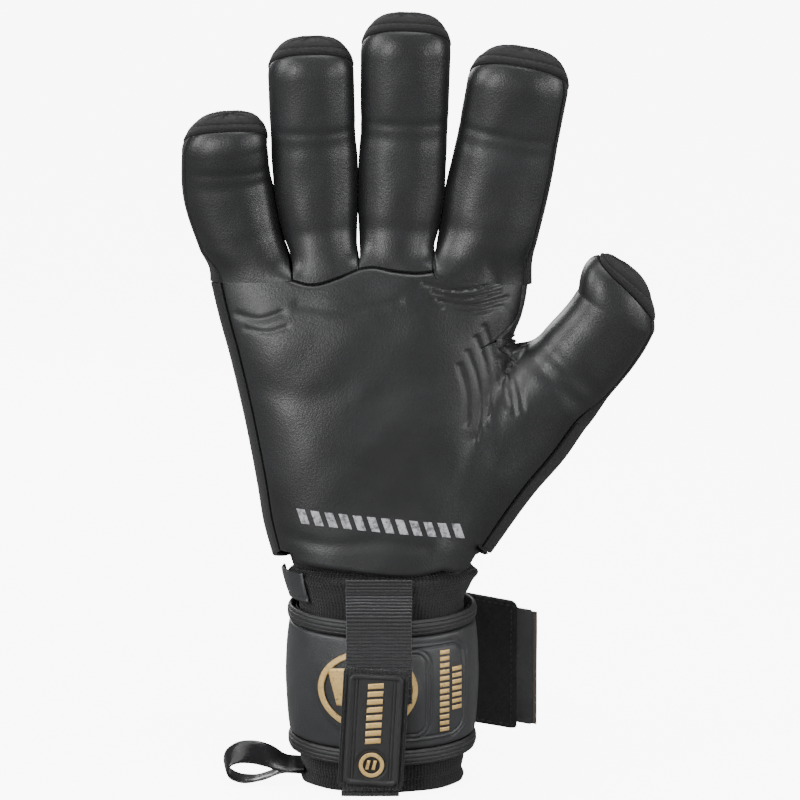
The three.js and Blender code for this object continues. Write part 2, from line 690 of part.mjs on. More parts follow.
// The tab's own strip goes down behind it, under its hem and back up the bandage.
const anchorLine = [
  [-bandage.halfDepth[0] - 0.9, 10.4],
  [-bandage.halfDepth[0] - 0.9, 5.4],
  [-bandage.halfDepth[0] - 3.4, 2.9],
  [-fabricBack + 1.6, 2.9],
  [-fabricBack, 4.6],
];
const anchorInner = anchorLine.map(([y, z], i) => {
  const before = anchorLine[Math.max(i - 1, 0)];
  const after = anchorLine[Math.min(i + 1, anchorLine.length - 1)];
  const long = Math.hypot(after[0] - before[0], after[1] - before[1]);
  return [y + (tab.fabric * (before[1] - after[1])) / long * -1, z + (tab.fabric * (after[0] - before[0])) / long * -1];
});
add(
  "tab_anchor",
  prism([...anchorLine, ...anchorInner.reverse()], v3(tab.x, 0, 0), v3(0, 1, 0), up, tab.width / 2 - 1.5),
  "ribbed",
);

// ---------- strap tail ----------

const tailTurn = THREE.MathUtils.degToRad(tail.turn);
const tailWay = v3(Math.cos(tailTurn), Math.sin(tailTurn), 0);
const tailBack = v3(-Math.sin(tailTurn), Math.cos(tailTurn), 0);

const tailRootY = strapHalfDepth * Math.sqrt(1 - (tail.rootX / strapHalfWidth) ** 2) + tail.stand;

/** A plate of the strap's tail between two lengths and two heights, so thick, behind a given depth. */
function tailPlate(from, to, low, high, depth, thick) {
  const place = v3(tail.rootX, tailRootY, 0).addScaledVector(tailBack, depth + thick / 2);
  const droop = (l, z) => [l, z + tail.slope * l];
  return prism([droop(from, low), droop(to, low), droop(to, high), droop(from, high)], place, tailWay, up, thick / 2);
}

const tailHigh = tail.bottom + tail.height;
add("tail_core", tailPlate(0, tail.length, tail.bottom, tailHigh, 0, tail.core), "ribbed");
add("tail_pile", tailPlate(2, tail.length, tail.bottom, tailHigh, -clearance - tail.pile, tail.pile), "pile");
const filmFrom = tail.length - tail.filmLap;
const filmEnd = tail.length + tail.filmLength;
add(
  "tail_hook_film",
  tailPlate(filmFrom, filmEnd, tail.bottom + tail.filmTrim, tailHigh - tail.filmTrim, tail.core + clearance, tail.film),
  "film",
);
add(
  "tail_edge_tape",
  tailPlate(
    filmEnd + clearance,
    filmEnd + clearance + tail.edge,
    tail.bottom + tail.filmTrim,
    tailHigh - tail.filmTrim,
    tail.core + clearance - 0.2,
    tail.film + 0.4,
  ),
  "binding",
);

// ---------- pull loop ----------

/** The pull loop's outline: a narrow stitched root that opens into a loop with a round end. */
const loopOutline = (inset) => {
  const half = pullLoop.gap / 2 + pullLoop.thick;
  const outline = [];
  for (let i = 0; i <= 8; i++) {
    const angle = Math.PI / 2 + (Math.PI * i) / 8;
    outline.push([half - pullLoop.reach + (half - inset) * Math.cos(angle), (half - inset) * Math.sin(angle)]);
  }
  const root = pullLoop.thick + 0.2 - inset;
  return [...outline, [-pullLoop.neck, inset - half], [-3 * inset, -root], [-3 * inset, root], [-pullLoop.neck, half - inset]];
};
const loopTilt = THREE.MathUtils.degToRad(pullLoop.tilt);
const loopUp = v3(0, -Math.sin(loopTilt), Math.cos(loopTilt));
const loopPlace = v3(-bandage.halfWidth[0] - pullLoop.stand, pullLoop.y, pullLoop.height);
const loopSolid = (inset, reach) => prism(loopOutline(inset), loopPlace, v3(1, 0, 0), loopUp, reach);
add(
  "pull_loop",
  loopSolid(0, pullLoop.width / 2).subtract(loopSolid(pullLoop.thick, pullLoop.width)),
  "padded",
);

export default group;
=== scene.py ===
# The look of a right-hand goalkeeper glove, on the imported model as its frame.
# Work is in millimetres until a mesh is made: x towards the thumb, y towards the back of the hand,
# z to the fingertips.
import bmesh
import bpy
import json
import math
import numpy as np
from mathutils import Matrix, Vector


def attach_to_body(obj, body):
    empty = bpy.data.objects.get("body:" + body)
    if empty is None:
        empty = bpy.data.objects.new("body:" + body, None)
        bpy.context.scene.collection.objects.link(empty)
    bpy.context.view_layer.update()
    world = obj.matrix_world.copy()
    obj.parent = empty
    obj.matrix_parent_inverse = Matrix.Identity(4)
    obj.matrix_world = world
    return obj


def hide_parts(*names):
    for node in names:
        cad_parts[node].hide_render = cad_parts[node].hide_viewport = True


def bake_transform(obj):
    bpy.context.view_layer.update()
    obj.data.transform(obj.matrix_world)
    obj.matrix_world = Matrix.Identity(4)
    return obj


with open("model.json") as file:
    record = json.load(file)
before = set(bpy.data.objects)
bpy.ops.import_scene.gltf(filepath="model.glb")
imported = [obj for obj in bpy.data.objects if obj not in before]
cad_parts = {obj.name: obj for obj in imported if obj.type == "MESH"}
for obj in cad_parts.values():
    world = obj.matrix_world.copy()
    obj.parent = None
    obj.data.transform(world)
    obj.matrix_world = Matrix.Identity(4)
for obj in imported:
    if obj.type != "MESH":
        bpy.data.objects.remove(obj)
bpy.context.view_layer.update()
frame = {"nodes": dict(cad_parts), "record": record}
scene = bpy.context.scene
mm = 0.001
jointList = {j["name"]: j for j in frame["record"]["behaviour"]["joints"]}
print("stage: frame loaded,", len(frame["nodes"]), "nodes")


def pivot(name):  # a joint's place, in mm
    return np.array(jointList[name]["pos_m"]) / mm


def spline(keys, values, at):  # a cubic Hermite line through the keys, level past both ends
    keys = np.asarray(keys, float)
    values = np.asarray(values, float)
    slopes = np.gradient(values, keys, axis=0)
    at = np.asarray(at, float)
    i = np.clip(np.searchsorted(keys, at) - 1, 0, len(keys) - 2)
    step = keys[i + 1] - keys[i]
    t = np.clip((at - keys[i]) / step, 0, 1)
    if values.ndim > 1:
        t, step = t[..., None], step[..., None]
    rise = values[i + 1] - values[i]
    return (values[i] + rise * t * t * (3 - 2 * t)
            + step * t * (1 - t) * ((1 - t) * slopes[i] - t * slopes[i + 1]))


def smoothStep(t):
    t = np.clip(t, 0, 1)
    return t * t * (3 - 2 * t)


# points at shares of the length of a smooth line; a list of lists keeps its corners
def lineThrough(points, shares):
    parts = points if isinstance(points[0][0], (list, tuple, np.ndarray)) else [points]
    fine = []
    for part in parts:
        part = np.asarray(part, float)
        chord = np.r_[0, np.cumsum(np.linalg.norm(np.diff(part, axis=0), axis=1))]
        fine.append(spline(chord, part, np.linspace(0, chord[-1], 240)) if len(part) > 2 else
                    part[0] + np.linspace(0, 1, 240)[:, None] * (part[1] - part[0]))
    fine = np.concatenate(fine)
    length = np.r_[0, np.cumsum(np.linalg.norm(np.diff(fine, axis=0), axis=1))]
    at = np.asarray(shares) * length[-1]
    return np.stack([np.interp(at, length, fine[:, k]) for k in range(fine.shape[1])], 1)


# even shares, closer together at a rounded edge
def edgedShares(count, length, radius, start=True, end=True):
    near = radius / length * np.array([0, 0.06, 0.24, 0.55])
    middle = np.linspace(radius / length if start else 0, 1 - (radius / length if end else 0), count)
    return np.concatenate([near if start else [], middle, 1 - near[::-1] if end else []])


def coons(bottom, top, left, right, u, v):  # a patch between four boundary lines that meet at their corners
    u, v = u[:, None, None], v[None, :, None]
    return ((1 - v) * bottom[:, None] + v * top[:, None] + (1 - u) * left[None] + u * right[None]
            - (1 - u) * (1 - v) * bottom[0] - u * (1 - v) * bottom[-1]
            - (1 - u) * v * top[0] - u * v * top[-1])


# unit normals by central differences, turned to the side of a direction or of points
def gridNormals(grid, toward):
    cross = np.cross(np.gradient(grid, axis=0), np.gradient(grid, axis=1))
    cross /= np.linalg.norm(cross, axis=2, keepdims=True) + 1e-12
    side = np.sum(cross * toward, axis=2)
    return cross * (1 if side.sum() > 0 else -1)


allEdges = {"u0": 1.0, "u1": 1.0, "v0": 1.0, "v1": 1.0}  # every edge of a sheet rounded
longEdges = {"v0": 1.0, "v1": 1.0}  # only its first and last columns


def edgeDrop(grid, radius, edges):  # how far a face falls away near its rounded edges: a quarter circle
    stepU = np.linalg.norm(np.diff(grid, axis=0), axis=2)
    stepV = np.linalg.norm(np.diff(grid, axis=1), axis=2)
    alongU = np.concatenate([np.zeros((1, grid.shape[1])), np.cumsum(stepU, 0)])
    alongV = np.concatenate([np.zeros((grid.shape[0], 1)), np.cumsum(stepV, 1)], 1)
    away = {"u0": alongU, "u1": alongU[-1:] - alongU, "v0": alongV, "v1": alongV[:, -1:] - alongV}
    drop = np.zeros(grid.shape[:2])
    for edge, weight in edges.items():
        near = np.clip(1 - away[edge] / radius, 0, 1)
        weight = np.asarray(weight, float)
        if weight.ndim:
            weight = weight[None] if edge[0] == "u" else weight[:, None]
        drop = np.maximum(drop, radius * (1 - np.sqrt(1 - near ** 2 + 1e-12)) * weight)
    return drop


allPieces = {}


def meshPiece(name, points, faces, material, place=None, smooth=True):  # an object from points in mm
    mesh = bpy.data.meshes.new(name)
    mesh.from_pydata((np.asarray(points) * mm).tolist(), [],
                     faces if isinstance(faces, list) else faces.tolist())
    if place is not None:
        mesh.attributes.new("sheetPlace", "FLOAT_VECTOR", "POINT").data.foreach_set(
            "vector", (np.asarray(place) * mm).astype(np.float32).ravel())
    mesh.polygons.foreach_set("use_smooth", [smooth] * len(mesh.polygons))
    mesh.materials.append(material)
    mesh.update()
    mesh.set_sharp_from_angle(angle=0.8)
    piece = bpy.data.objects.new(name, mesh)
    scene.collection.objects.link(piece)
    allPieces[name] = piece
    return piece


# faces of a grid whose points run column by column within a row
def quads(rows, columns, wrap=False, flip=False):
    last = rows if wrap else rows - 1
    i, j = np.meshgrid(np.arange(last), np.arange(columns - 1), indexing="ij")
    near, far = i * columns + j, ((i + 1) % rows) * columns + j
    faces = np.stack([near, far, far + 1, near + 1], -1).reshape(-1, 4)
    return faces[:, ::-1] if flip else faces


def sheetPieces(cuts, grid, thick, material, toward=(0, -1, 0), edges=None, wrap=False, radius=None,
                place=None):
    # closed sheets: the grid is their outer face, the inner face lies a thickness behind, and walls
    # join them; each cut (name, first row, last row) becomes its own piece, and neighbours share the
    # row between them
    rows, columns = grid.shape[:2]
    radius = radius or thick * 0.5
    toward = np.broadcast_to(np.asarray(toward, float), grid.shape)
    if wrap:
        around = lambda values: np.concatenate([values[-1:], values, values[:1]])
        normals = gridNormals(around(grid), around(toward))[1:-1]
    else:
        normals = gridNormals(grid, toward)
    drop = edgeDrop(grid, radius, edges or {})[..., None]
    outer = grid - normals * drop
    inner = grid - normals * (thick - drop * min(1, (thick - radius) / radius))
    if place is None:
        stepU = np.linalg.norm(np.diff(grid, axis=0), axis=2)
        stepV = np.linalg.norm(np.diff(grid, axis=1), axis=2)
        place = np.stack([np.concatenate([np.zeros((1, columns)), np.cumsum(stepU, 0)]),
                          np.concatenate([np.zeros((rows, 1)), np.cumsum(stepV, 1)], 1),
                          grid[..., 0] * 0], -1)
    cross = np.cross(np.gradient(grid, axis=0), np.gradient(grid, axis=1))
    flipped = np.sum(cross * normals) < 0
    made = []
    for name, first, last in cuts:
        part = slice(first, last + 1)
        height = outer[part].shape[0]
        count = height * columns
        index = np.arange(count).reshape(height, columns)
        faces = [quads(height, columns, wrap, flipped), quads(height, columns, wrap, not flipped) + count]
        sides = [(index[:, 0], True), (index[:, -1], False)]
        if wrap:
            sides = [(np.r_[line, line[0]], way) for line, way in sides]
        else:
            sides += [(index[0], False), (index[-1], True)]
        for line, way in sides:
            strip = np.stack([line[:-1], line[1:], line[1:] + count, line[:-1] + count], 1)
            faces.append(strip if way == flipped else strip[:, ::-1])
        flat = place[part].reshape(-1, 3)
        made.append(meshPiece(name, np.concatenate([outer[part].reshape(-1, 3), inner[part].reshape(-1, 3)]),
                              np.concatenate(faces), material, np.concatenate([flat, flat + [0, 0, thick]])))
    return made


def sheetPiece(name, grid, *given, **more):
    return sheetPieces([(name, 0, len(grid) - 1)], grid, *given, **more)[0]


def stitchPiece(name, path, normals, material, pitch=2.5, long=1.75, radius=0.24, sink=0.05):
    # a row of thread stitches: small ellipsoids set along a path, half sunk into the sheet
    path = np.asarray(path, float)
    length = np.r_[0, np.cumsum(np.linalg.norm(np.diff(path, axis=0), axis=1))]
    at = np.arange(pitch / 2, length[-1], pitch)
    pick = lambda values: np.stack([np.interp(at, length, values[:, k]) for k in range(3)], 1)
    centre, normal = pick(path), pick(np.broadcast_to(normals, path.shape))
    ahead = np.stack([np.interp(at + 0.3, length, path[:, k]) for k in range(3)], 1) - centre
    ahead /= np.linalg.norm(ahead, axis=1, keepdims=True) + 1e-9
    normal /= np.linalg.norm(normal, axis=1, keepdims=True) + 1e-9
    side = np.cross(normal, ahead)
    theta = np.linspace(0, math.pi, 7)[:, None]
    phi = np.arange(8)[None] * math.pi / 4
    shape = np.stack([np.broadcast_to(np.cos(theta) * long / 2, (7, 8)), np.sin(theta) * np.cos(phi) * radius,
                      np.sin(theta) * np.sin(phi) * radius], -1).reshape(-1, 3)
    points = (centre[:, None] + shape[None, :, :1] * ahead[:, None] + shape[None, :, 1:2] * side[:, None]
              + (shape[None, :, 2:] + radius * 0.3 - sink) * normal[:, None])
    turn = quads(7, 9)
    ring = np.where(turn % 9 == 8, turn - 8, turn)
    faces = (ring // 9) * 8 + ring % 9
    faces = (faces[None] + (np.arange(len(at)) * 56)[:, None, None]).reshape(-1, 4)
    return meshPiece(name, points.reshape(-1, 3), faces, material)


# rides a body; a piece given a bend is baked where it stands and rides no body
def attach(piece, body, slot, nodes=(), bend=None):
    if bend:
        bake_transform(piece)
    else:
        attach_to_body(piece, body)
    if nodes:
        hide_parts(*nodes)
    return piece


# each seam's stitches: their pitch, length and radius
seamLook = {"tip": (2.2, 1.5, 0.17), "strap": (2.6, 1.8, 0.2), "webbing": (2.2, 1.5, 0.18),
            "tab": (2.3, 1.6, 0.2), "edge": (2.4, 1.7, 0.2)}


def sew(body, name, path, normals, seam):  # stitches that ride a body
    return attach(stitchPiece(name, path, normals, thread, *seamLook[seam]), body, "binding")


class NodeTree:  # short calls for building a shader or group
    def __init__(self, tree):
        self.tree = tree

    def node(self, kind, **settings):
        made = self.tree.nodes.new(kind)
        for key, value in settings.items():
            setattr(made, key, value)
        return made

    def put(self, socket, value):
        if isinstance(value, bpy.types.NodeSocket):
            self.tree.links.new(value, socket)
        elif value is not None:
            socket.default_value = value

    def math(self, operation, a, b=None, c=None, clamp=False):
        made = self.node("ShaderNodeMath", operation=operation, use_clamp=clamp)
        for socket, value in zip(made.inputs, (a, b, c)):
            self.put(socket, value)
        return made.outputs[0]

    def vector(self, operation, a, b=None, scale=None):
        made = self.node("ShaderNodeVectorMath", operation=operation)
        self.put(made.inputs[0], a)
        self.put(made.inputs[1], b)
        self.put(made.inputs["Scale"], scale)
        return made.outputs["Value" if operation in ("DOT_PRODUCT", "LENGTH") else "Vector"]

    def blend(self, share, a, b):  # a colour mix
        made = self.node("ShaderNodeMix", data_type="RGBA", clamp_factor=True)
        self.put(made.inputs[0], share)
        self.put(made.inputs[6], a)
        self.put(made.inputs[7], b)
        return made.outputs[2]

    # a value carried from one range to another
    def span(self, value, low, high, first=0.0, last=1.0, smooth=False):
        made = self.node("ShaderNodeMapRange", clamp=True,
                         interpolation_type="SMOOTHSTEP" if smooth else "LINEAR")
        for socket, number in zip(made.inputs, (value, low, high, first, last)):
            self.put(socket, number)
        return made.outputs[0]

    def noise(self, vector, scale, detail=2.0, rough=0.5, distortion=0.0):
        made = self.node("ShaderNodeTexNoise")
        for key, value in (("Vector", vector), ("Scale", scale), ("Detail", detail), ("Roughness", rough),
                           ("Distortion", distortion)):
            self.put(made.inputs[key], value)
        return made.outputs[0]

    def cells(self, vector, scale, feature="F1", randomness=1.0):
        made = self.node("ShaderNodeTexVoronoi", feature=feature)
        self.put(made.inputs["Vector"], vector)
        self.put(made.inputs["Scale"], scale)
        self.put(made.inputs["Randomness"], randomness)
        return made.outputs[0]

    def parts(self, vector):
        made = self.node("ShaderNodeSeparateXYZ")
        self.put(made.inputs[0], vector)
        return made.outputs[0], made.outputs[1], made.outputs[2]

    def bump(self, height, distance, strength=1.0, normal=None):
        made = self.node("ShaderNodeBump")
        self.put(made.inputs["Height"], height)
        self.put(made.inputs["Distance"], distance)
        self.put(made.inputs["Strength"], strength)
        self.put(made.inputs["Normal"], normal)
        return made.outputs[0]

    def objectPlace(self):
        return self.node("ShaderNodeTexCoord").outputs["Object"]

    def sheetPlace(self):  # a sheet's own flat coordinates, in metres
        return self.node("ShaderNodeAttribute", attribute_name="sheetPlace").outputs["Vector"]

    def group(self, made, **inputs):
        used = self.node("ShaderNodeGroup", node_tree=made)
        for key, value in inputs.items():
            self.put(used.inputs[key], value)
        return used.outputs


def newGroup(name, inputs, outputs):
    made = bpy.data.node_groups.new(name, "ShaderNodeTree")
    for label, kind in inputs:
        made.interface.new_socket(label, in_out="INPUT", socket_type=kind)
    for label, kind in outputs:
        made.interface.new_socket(label, in_out="OUTPUT", socket_type=kind)
    tree = NodeTree(made)
    return made, tree, tree.node("NodeGroupInput").outputs, tree.node("NodeGroupOutput").inputs


# Foam grain: fine pores on two scales, and a slow mottle from handling.
foamGrain, t, given, result = newGroup("foamGrain", [("Vector", "NodeSocketVector")],
                                       [("Height", "NodeSocketFloat"), ("Mottle", "NodeSocketFloat"),
                                        ("Pores", "NodeSocketFloat")])
pores = t.cells(given[0], 1500.0)
fine = t.noise(given[0], 900.0, 3.0, 0.6)
broad = t.noise(given[0], 95.0, 4.0, 0.6, 0.4)
t.put(result["Height"], t.math("ADD", t.math("MULTIPLY", pores, 0.6),
                               t.math("ADD", t.math("MULTIPLY", fine, 0.6),
                                                                       t.math("MULTIPLY", broad, 0.9))))
t.put(result["Mottle"], t.noise(given[0], 24.0, 4.0, 0.62, 0.5))
t.put(result["Pores"], t.span(pores, 0.05, 0.4))

# Ribbing: rounded ribs across one direction, with fine cross threads.
ribbing, t, given, result = newGroup(
    "ribbing", [("Vector", "NodeSocketVector"), ("Pitch", "NodeSocketFloat"), ("Thread", "NodeSocketFloat")],
    [("Height", "NodeSocketFloat"), ("Thread", "NodeSocketFloat")])
x, y, z = t.parts(given[0])
rib = t.math("ABSOLUTE", t.math("SINE", t.math("MULTIPLY", t.math("DIVIDE", y, given["Pitch"]), math.pi)))
wobble = t.math("MULTIPLY", t.noise(given[0], 700.0, 2.0), 0.35)
cross = t.math("ABSOLUTE", t.math("SINE", t.math("MULTIPLY", t.math("DIVIDE", x, given["Thread"]), math.pi)))
t.put(result["Height"], t.math("ADD", t.math("MULTIPLY", rib, 0.8),
                               t.math("ADD", t.math("MULTIPLY", cross, 0.2), wobble)))
t.put(result["Thread"], t.math("MULTIPLY", rib, t.span(cross, 0.0, 0.6, 0.55, 1.0)))

# Knit: offset rows of small loops.
knit, t, given, result = newGroup("knit", [("Vector", "NodeSocketVector"), ("Pitch", "NodeSocketFloat")],
                                  [("Height", "NodeSocketFloat"), ("Thread", "NodeSocketFloat")])
x, y, z = t.parts(given[0])
row = t.math("DIVIDE", y, given["Pitch"])
wale = t.math("DIVIDE", x, given["Pitch"])
shift = t.math("MULTIPLY", t.math("ABSOLUTE", t.math("SINE", t.math("MULTIPLY", row, math.pi))), 0.35)
loops = t.math("ABSOLUTE", t.math("SINE", t.math("MULTIPLY", t.math("ADD", wale, shift), math.pi)))
rows = t.math("ABSOLUTE", t.math("SINE", t.math("MULTIPLY", row, math.pi * 2)))
t.put(result["Height"], t.math("ADD", t.math("MULTIPLY", loops, 0.7), t.math("MULTIPLY", rows, 0.3)))
t.put(result["Thread"], t.math("MULTIPLY", loops, t.span(rows, 0.0, 0.5, 0.6, 1.0)))

# Pile: a felted tangle of short loops.
pileFluff, t, given, result = newGroup("pileFluff", [("Vector", "NodeSocketVector")],
                                       [("Height", "NodeSocketFloat"), ("Fuzz", "NodeSocketFloat")])
tangle = t.noise(given[0], 1300.0, 4.0, 0.75, 2.2)
clump = t.noise(given[0], 260.0, 3.0, 0.6, 0.8)
t.put(result["Height"], t.math("ADD", tangle, t.math("MULTIPLY", clump, 0.8)))
t.put(result["Fuzz"], t.span(tangle, 0.35, 0.7))


def newMaterial(name, metallic=0.0):
    made = bpy.data.materials.new(name)
    made.use_nodes = True
    shader = made.node_tree.nodes["Principled BSDF"]
    shader.inputs["Metallic"].default_value = metallic
    return made, NodeTree(made.node_tree), shader.inputs


def grey(value, tint=0.0):  # a near-black, a touch cooler with tint
    return (value * (1 - tint), value, value * (1 + tint * 1.6), 1.0)


latexLook = {"dark": grey(0.0085, 0.04), "light": grey(0.0155, 0.04), "pore": grey(0.005),
             "print": (0.42, 0.42, 0.45, 1),
             "rough": 0.4, "printLow": 0.1005, "printSlope": -0.098, "printHeight": 0.0026,
             "printFrom": -0.032,
             "printTo": 0.0305, "dash": 0.0051, "slant": 0.35}


def makeLatex():
    look = latexLook
    made, t, out = newMaterial("latexFoam")
    place = t.objectPlace()
    grain = t.group(foamGrain, Vector=place)
    colour = t.blend(t.span(grain["Mottle"], 0.32, 0.68), look["dark"], look["light"])
    colour = t.blend(t.math("MULTIPLY", t.math("SUBTRACT", 1.0, grain["Pores"]), 0.35), colour, look["pore"])
    x, y, z = t.parts(place)
    # The print: a row of plain slanted dashes along a sloping line, worn thin in places.
    line = t.math("SUBTRACT", z, t.math("MULTIPLY_ADD", x, look["printSlope"], look["printLow"]))
    tall = t.math("LESS_THAN", t.math("ABSOLUTE", line), look["printHeight"])
    run = t.math("MULTIPLY_ADD", line, look["slant"], x)
    phase = t.math("FRACT", t.math("DIVIDE", t.math("ADD", run, 1.0), look["dash"]))
    wide = t.math("LESS_THAN", t.math("ABSOLUTE", t.math("SUBTRACT", phase, 0.5)), 0.3)
    inside = t.math("MULTIPLY", t.math("GREATER_THAN", run, look["printFrom"]),
                    t.math("LESS_THAN", run, look["printTo"]))
    front = t.math("LESS_THAN", y, 0.0)
    mask = t.math("MULTIPLY", t.math("MULTIPLY", tall, wide), t.math("MULTIPLY", inside, front))
    wear = t.span(t.noise(place, 520.0, 3.0, 0.7), 0.36, 0.56, 0.25, 1.0)
    colour = t.blend(t.math("MULTIPLY", mask, wear), colour, look["print"])
    t.put(out["Base Color"], colour)
    t.put(out["Roughness"], t.math("ADD", t.math("MULTIPLY", grain["Mottle"], 0.16), look["rough"] - 0.08))
    t.put(out["Sheen Weight"], 0.04)
    t.put(out["Sheen Roughness"], 0.4)
    t.put(out["Specular IOR Level"], 0.5)
    t.put(out["Normal"], t.bump(grain["Height"], 0.00016, 0.4))
    return made


# smooth leather-like coating, with painted shade darkening its fine creases
def makeCoated(name, dark, light, rough, scale=620.0, depth=0.00022, sheen=0.05):
    made, t, out = newMaterial(name)
    place = t.objectPlace()
    hide = t.cells(place, scale, "DISTANCE_TO_EDGE")
    crease = t.span(hide, 0.0, 0.16)
    cloud = t.noise(place, 30.0, 4.0, 0.6, 0.4)
    colour = t.blend(t.span(cloud, 0.3, 0.7), dark, light)
    # painted shade: the colour goes up to 30% darker along the fine creases between the grain's cells
    colour = t.blend(t.math("MULTIPLY", t.math("SUBTRACT", 1.0, crease), 0.3), colour, dark)
    t.put(out["Base Color"], colour)
    t.put(out["Roughness"], t.math("ADD", t.math("MULTIPLY", cloud, 0.16), rough - 0.08))
    t.put(out["Sheen Weight"], sheen)
    height = t.math("ADD", t.math("MULTIPLY", crease, 0.5),
                    t.math("MULTIPLY", t.noise(place, 1800.0, 2.0), 0.3))
    t.put(out["Normal"], t.bump(height, depth, 0.55))
    return made


def makeTextile(name, dark, light, pitch, thread, rough=0.85, depth=0.0003, sheen=0.1, weave="rib"):
    made, t, out = newMaterial(name)
    place = t.sheetPlace()
    used = (t.group(ribbing, Vector=place, Pitch=pitch, Thread=thread) if weave == "rib"
            else t.group(knit, Vector=place, Pitch=pitch))
    fluff = t.group(pileFluff, Vector=t.objectPlace())
    colour = t.blend(used["Thread"], dark, light)
    colour = t.blend(t.math("MULTIPLY", fluff["Fuzz"], 0.25), colour, light)
    t.put(out["Base Color"], colour)
    t.put(out["Roughness"], rough)
    t.put(out["Sheen Weight"], sheen)
    t.put(out["Sheen Roughness"], 0.5)
    t.put(out["Sheen Tint"], (0.7, 0.7, 0.75, 1))
    t.put(out["Normal"], t.bump(t.math("ADD", used["Height"], t.math("MULTIPLY", fluff["Height"], 0.25)),
                                depth, 0.9))
    return made


def makePile(name, dark, light, depth=0.0006, sheen=0.15):
    made, t, out = newMaterial(name)
    fluff = t.group(pileFluff, Vector=t.objectPlace())
    t.put(out["Base Color"], t.blend(fluff["Fuzz"], dark, light))
    t.put(out["Roughness"], 0.95)
    t.put(out["Sheen Weight"], sheen)
    t.put(out["Sheen Tint"], (0.6, 0.6, 0.65, 1))
    t.put(out["Normal"], t.bump(fluff["Height"], depth, 1.0))
    return made


def makeGold():
    made, t, out = newMaterial("goldPrint", 0.35)
    place = t.objectPlace()
    cloud = t.noise(place, 260.0, 4.0, 0.65)
    worn = t.span(t.noise(place, 900.0, 3.0, 0.7), 0.3, 0.42)
    colour = t.blend(cloud, (0.52, 0.33, 0.1, 1), (0.84, 0.58, 0.24, 1))
    t.put(out["Base Color"], t.blend(worn, (0.2, 0.13, 0.06, 1), colour))
    t.put(out["Roughness"], 0.42)
    t.put(out["Normal"], t.bump(t.noise(place, 1500.0, 2.0), 0.0001, 0.4))
    return made


latex = makeLatex()
coated = makeCoated("coatedBackhand", grey(0.008, 0.03), grey(0.0144, 0.03), 0.48)
cuffCoat = makeCoated("coatedCuff", grey(0.021, 0.04), grey(0.034, 0.04), 0.42, 900.0, 0.00012)
bindingCoat = makeCoated("coatedBinding", grey(0.012, 0.03), grey(0.019, 0.03), 0.5, 1100.0, 0.00014)
glossCoat = makeCoated("glossLoop", grey(0.0072, 0.05), grey(0.012, 0.05), 0.24, 700.0, 0.00008)
bindingCloth = makeTextile("bindingCloth", grey(0.0032), grey(0.012), 0.0006, 0.0006, 0.9, 0.00025)
webCloth = makeTextile("webbingCloth", grey(0.0018, 0.02), grey(0.0075, 0.04), 0.00125, 0.0005, 0.75,
                       0.0005, 0.3)
knitCloth = makeTextile("liningKnit", grey(0.0024), grey(0.008), 0.0009, 0.0009, 0.95, 0.0003, 0.08, "knit")
bandKnit = makeTextile("bandageKnit", grey(0.0036), grey(0.011, 0.02), 0.0012, 0.0012, 0.92, 0.0005, 0.12,
                       "knit")
pileCloth = makePile("loopPile", grey(0.0024), grey(0.012, 0.02))
filmPlastic = makeCoated("hookFilm", grey(0.012, 0.05), grey(0.018, 0.05), 0.3, 2200.0, 0.0002)
tabRubber = makeCoated("tabRubber", grey(0.009, 0.02), grey(0.015, 0.02), 0.5, 1500.0, 0.00008)
thread = makeTextile("sewingThread", grey(0.008), grey(0.028), 0.0004, 0.0004, 0.6, 0.0001)
gold = makeGold()
print("stage: materials made,", len(bpy.data.materials))


# Sides and half-depth of the palm at a few heights; the axis and half sizes of the thumb and of each finger.
palm = {"height": [82, 95, 115, 140, 165, 183, 192], "left": [-37.5, -41.5, -45, -50, -56, -61, -62.6],
        "right": [35, 37.5, 41, 45, 48.5, 52, 53], "depth": [21, 20.5, 20, 19.5, 17.5, 15, 13.4],
        "power": 2.7,
        "sheet": 4.0, "seam": 1.3}
thumb = {"axis": [[17, 0, 95], [39, 0, 120.5], [66, -1.5, 151.5], [82, -4, 171.5], [85, -5, 177]],
         "width": [21, 20, 17.2, 16.2, 15.8], "depth": [15.5, 15, 13, 11.8, 11.6], "dome": 16, "lean": -8,
         "way": np.array([0.66, 0, 0.751])}
power = 2.35
foldLow = pivot("thumb_fold")
foldAcross = np.array([0.985, 0, -0.173])
# from hand to thumb, across the fold
thumbBend = ("thumb_base", foldLow - foldAcross * 10, foldLow + foldAcross * 4)
thumbTip = pivot("thumb_tip_bend")

axisPoints = lineThrough(thumb["axis"], np.linspace(0, 1, 300))
axisLength = np.r_[0, np.cumsum(np.linalg.norm(np.diff(axisPoints, axis=0), axis=1))]
keyLength = [np.interp(p[0], axisPoints[:, 0], axisLength) for p in thumb["axis"]]


def superDepth(side, exponent):  # a superellipse's depth at a share of its half-width
    side = np.minimum(np.abs(side), 0.97)
    return (1 - side ** exponent) ** (1 / exponent)


def palmDepth(x, z):
    left, right, depth = (spline(palm["height"], palm[key], z) for key in ("left", "right", "depth"))
    return depth * superDepth((x - (left + right) / 2) / ((right - left) / 2), palm["power"])


def thumbDepth(x, z, side):  # depth of the thumb's tube, in front (side -1) or behind (side 1)
    gap = np.stack([x, z], -1)[..., None, :] - axisPoints[:, [0, 2]]
    square = np.sum(gap ** 2, -1)
    near = square.argmin(-1)
    away = np.sqrt(np.take_along_axis(square, near[..., None], -1)[..., 0])
    at = axisLength[near]
    width = np.interp(at, keyLength, thumb["width"])
    depth = np.interp(at, keyLength, thumb["depth"])
    return depth * superDepth(away / width, power) * (away < width) + side * axisPoints[near, 1]


def groove(x, z, line, width):  # 1 on a line through points, falling off as a bell to both sides
    points = lineThrough(line, np.linspace(0, 1, 60))
    square = np.min((x[..., None] - points[:, 0]) ** 2 + (z[..., None] - points[:, 1]) ** 2, -1)
    return np.exp(-square / width ** 2)


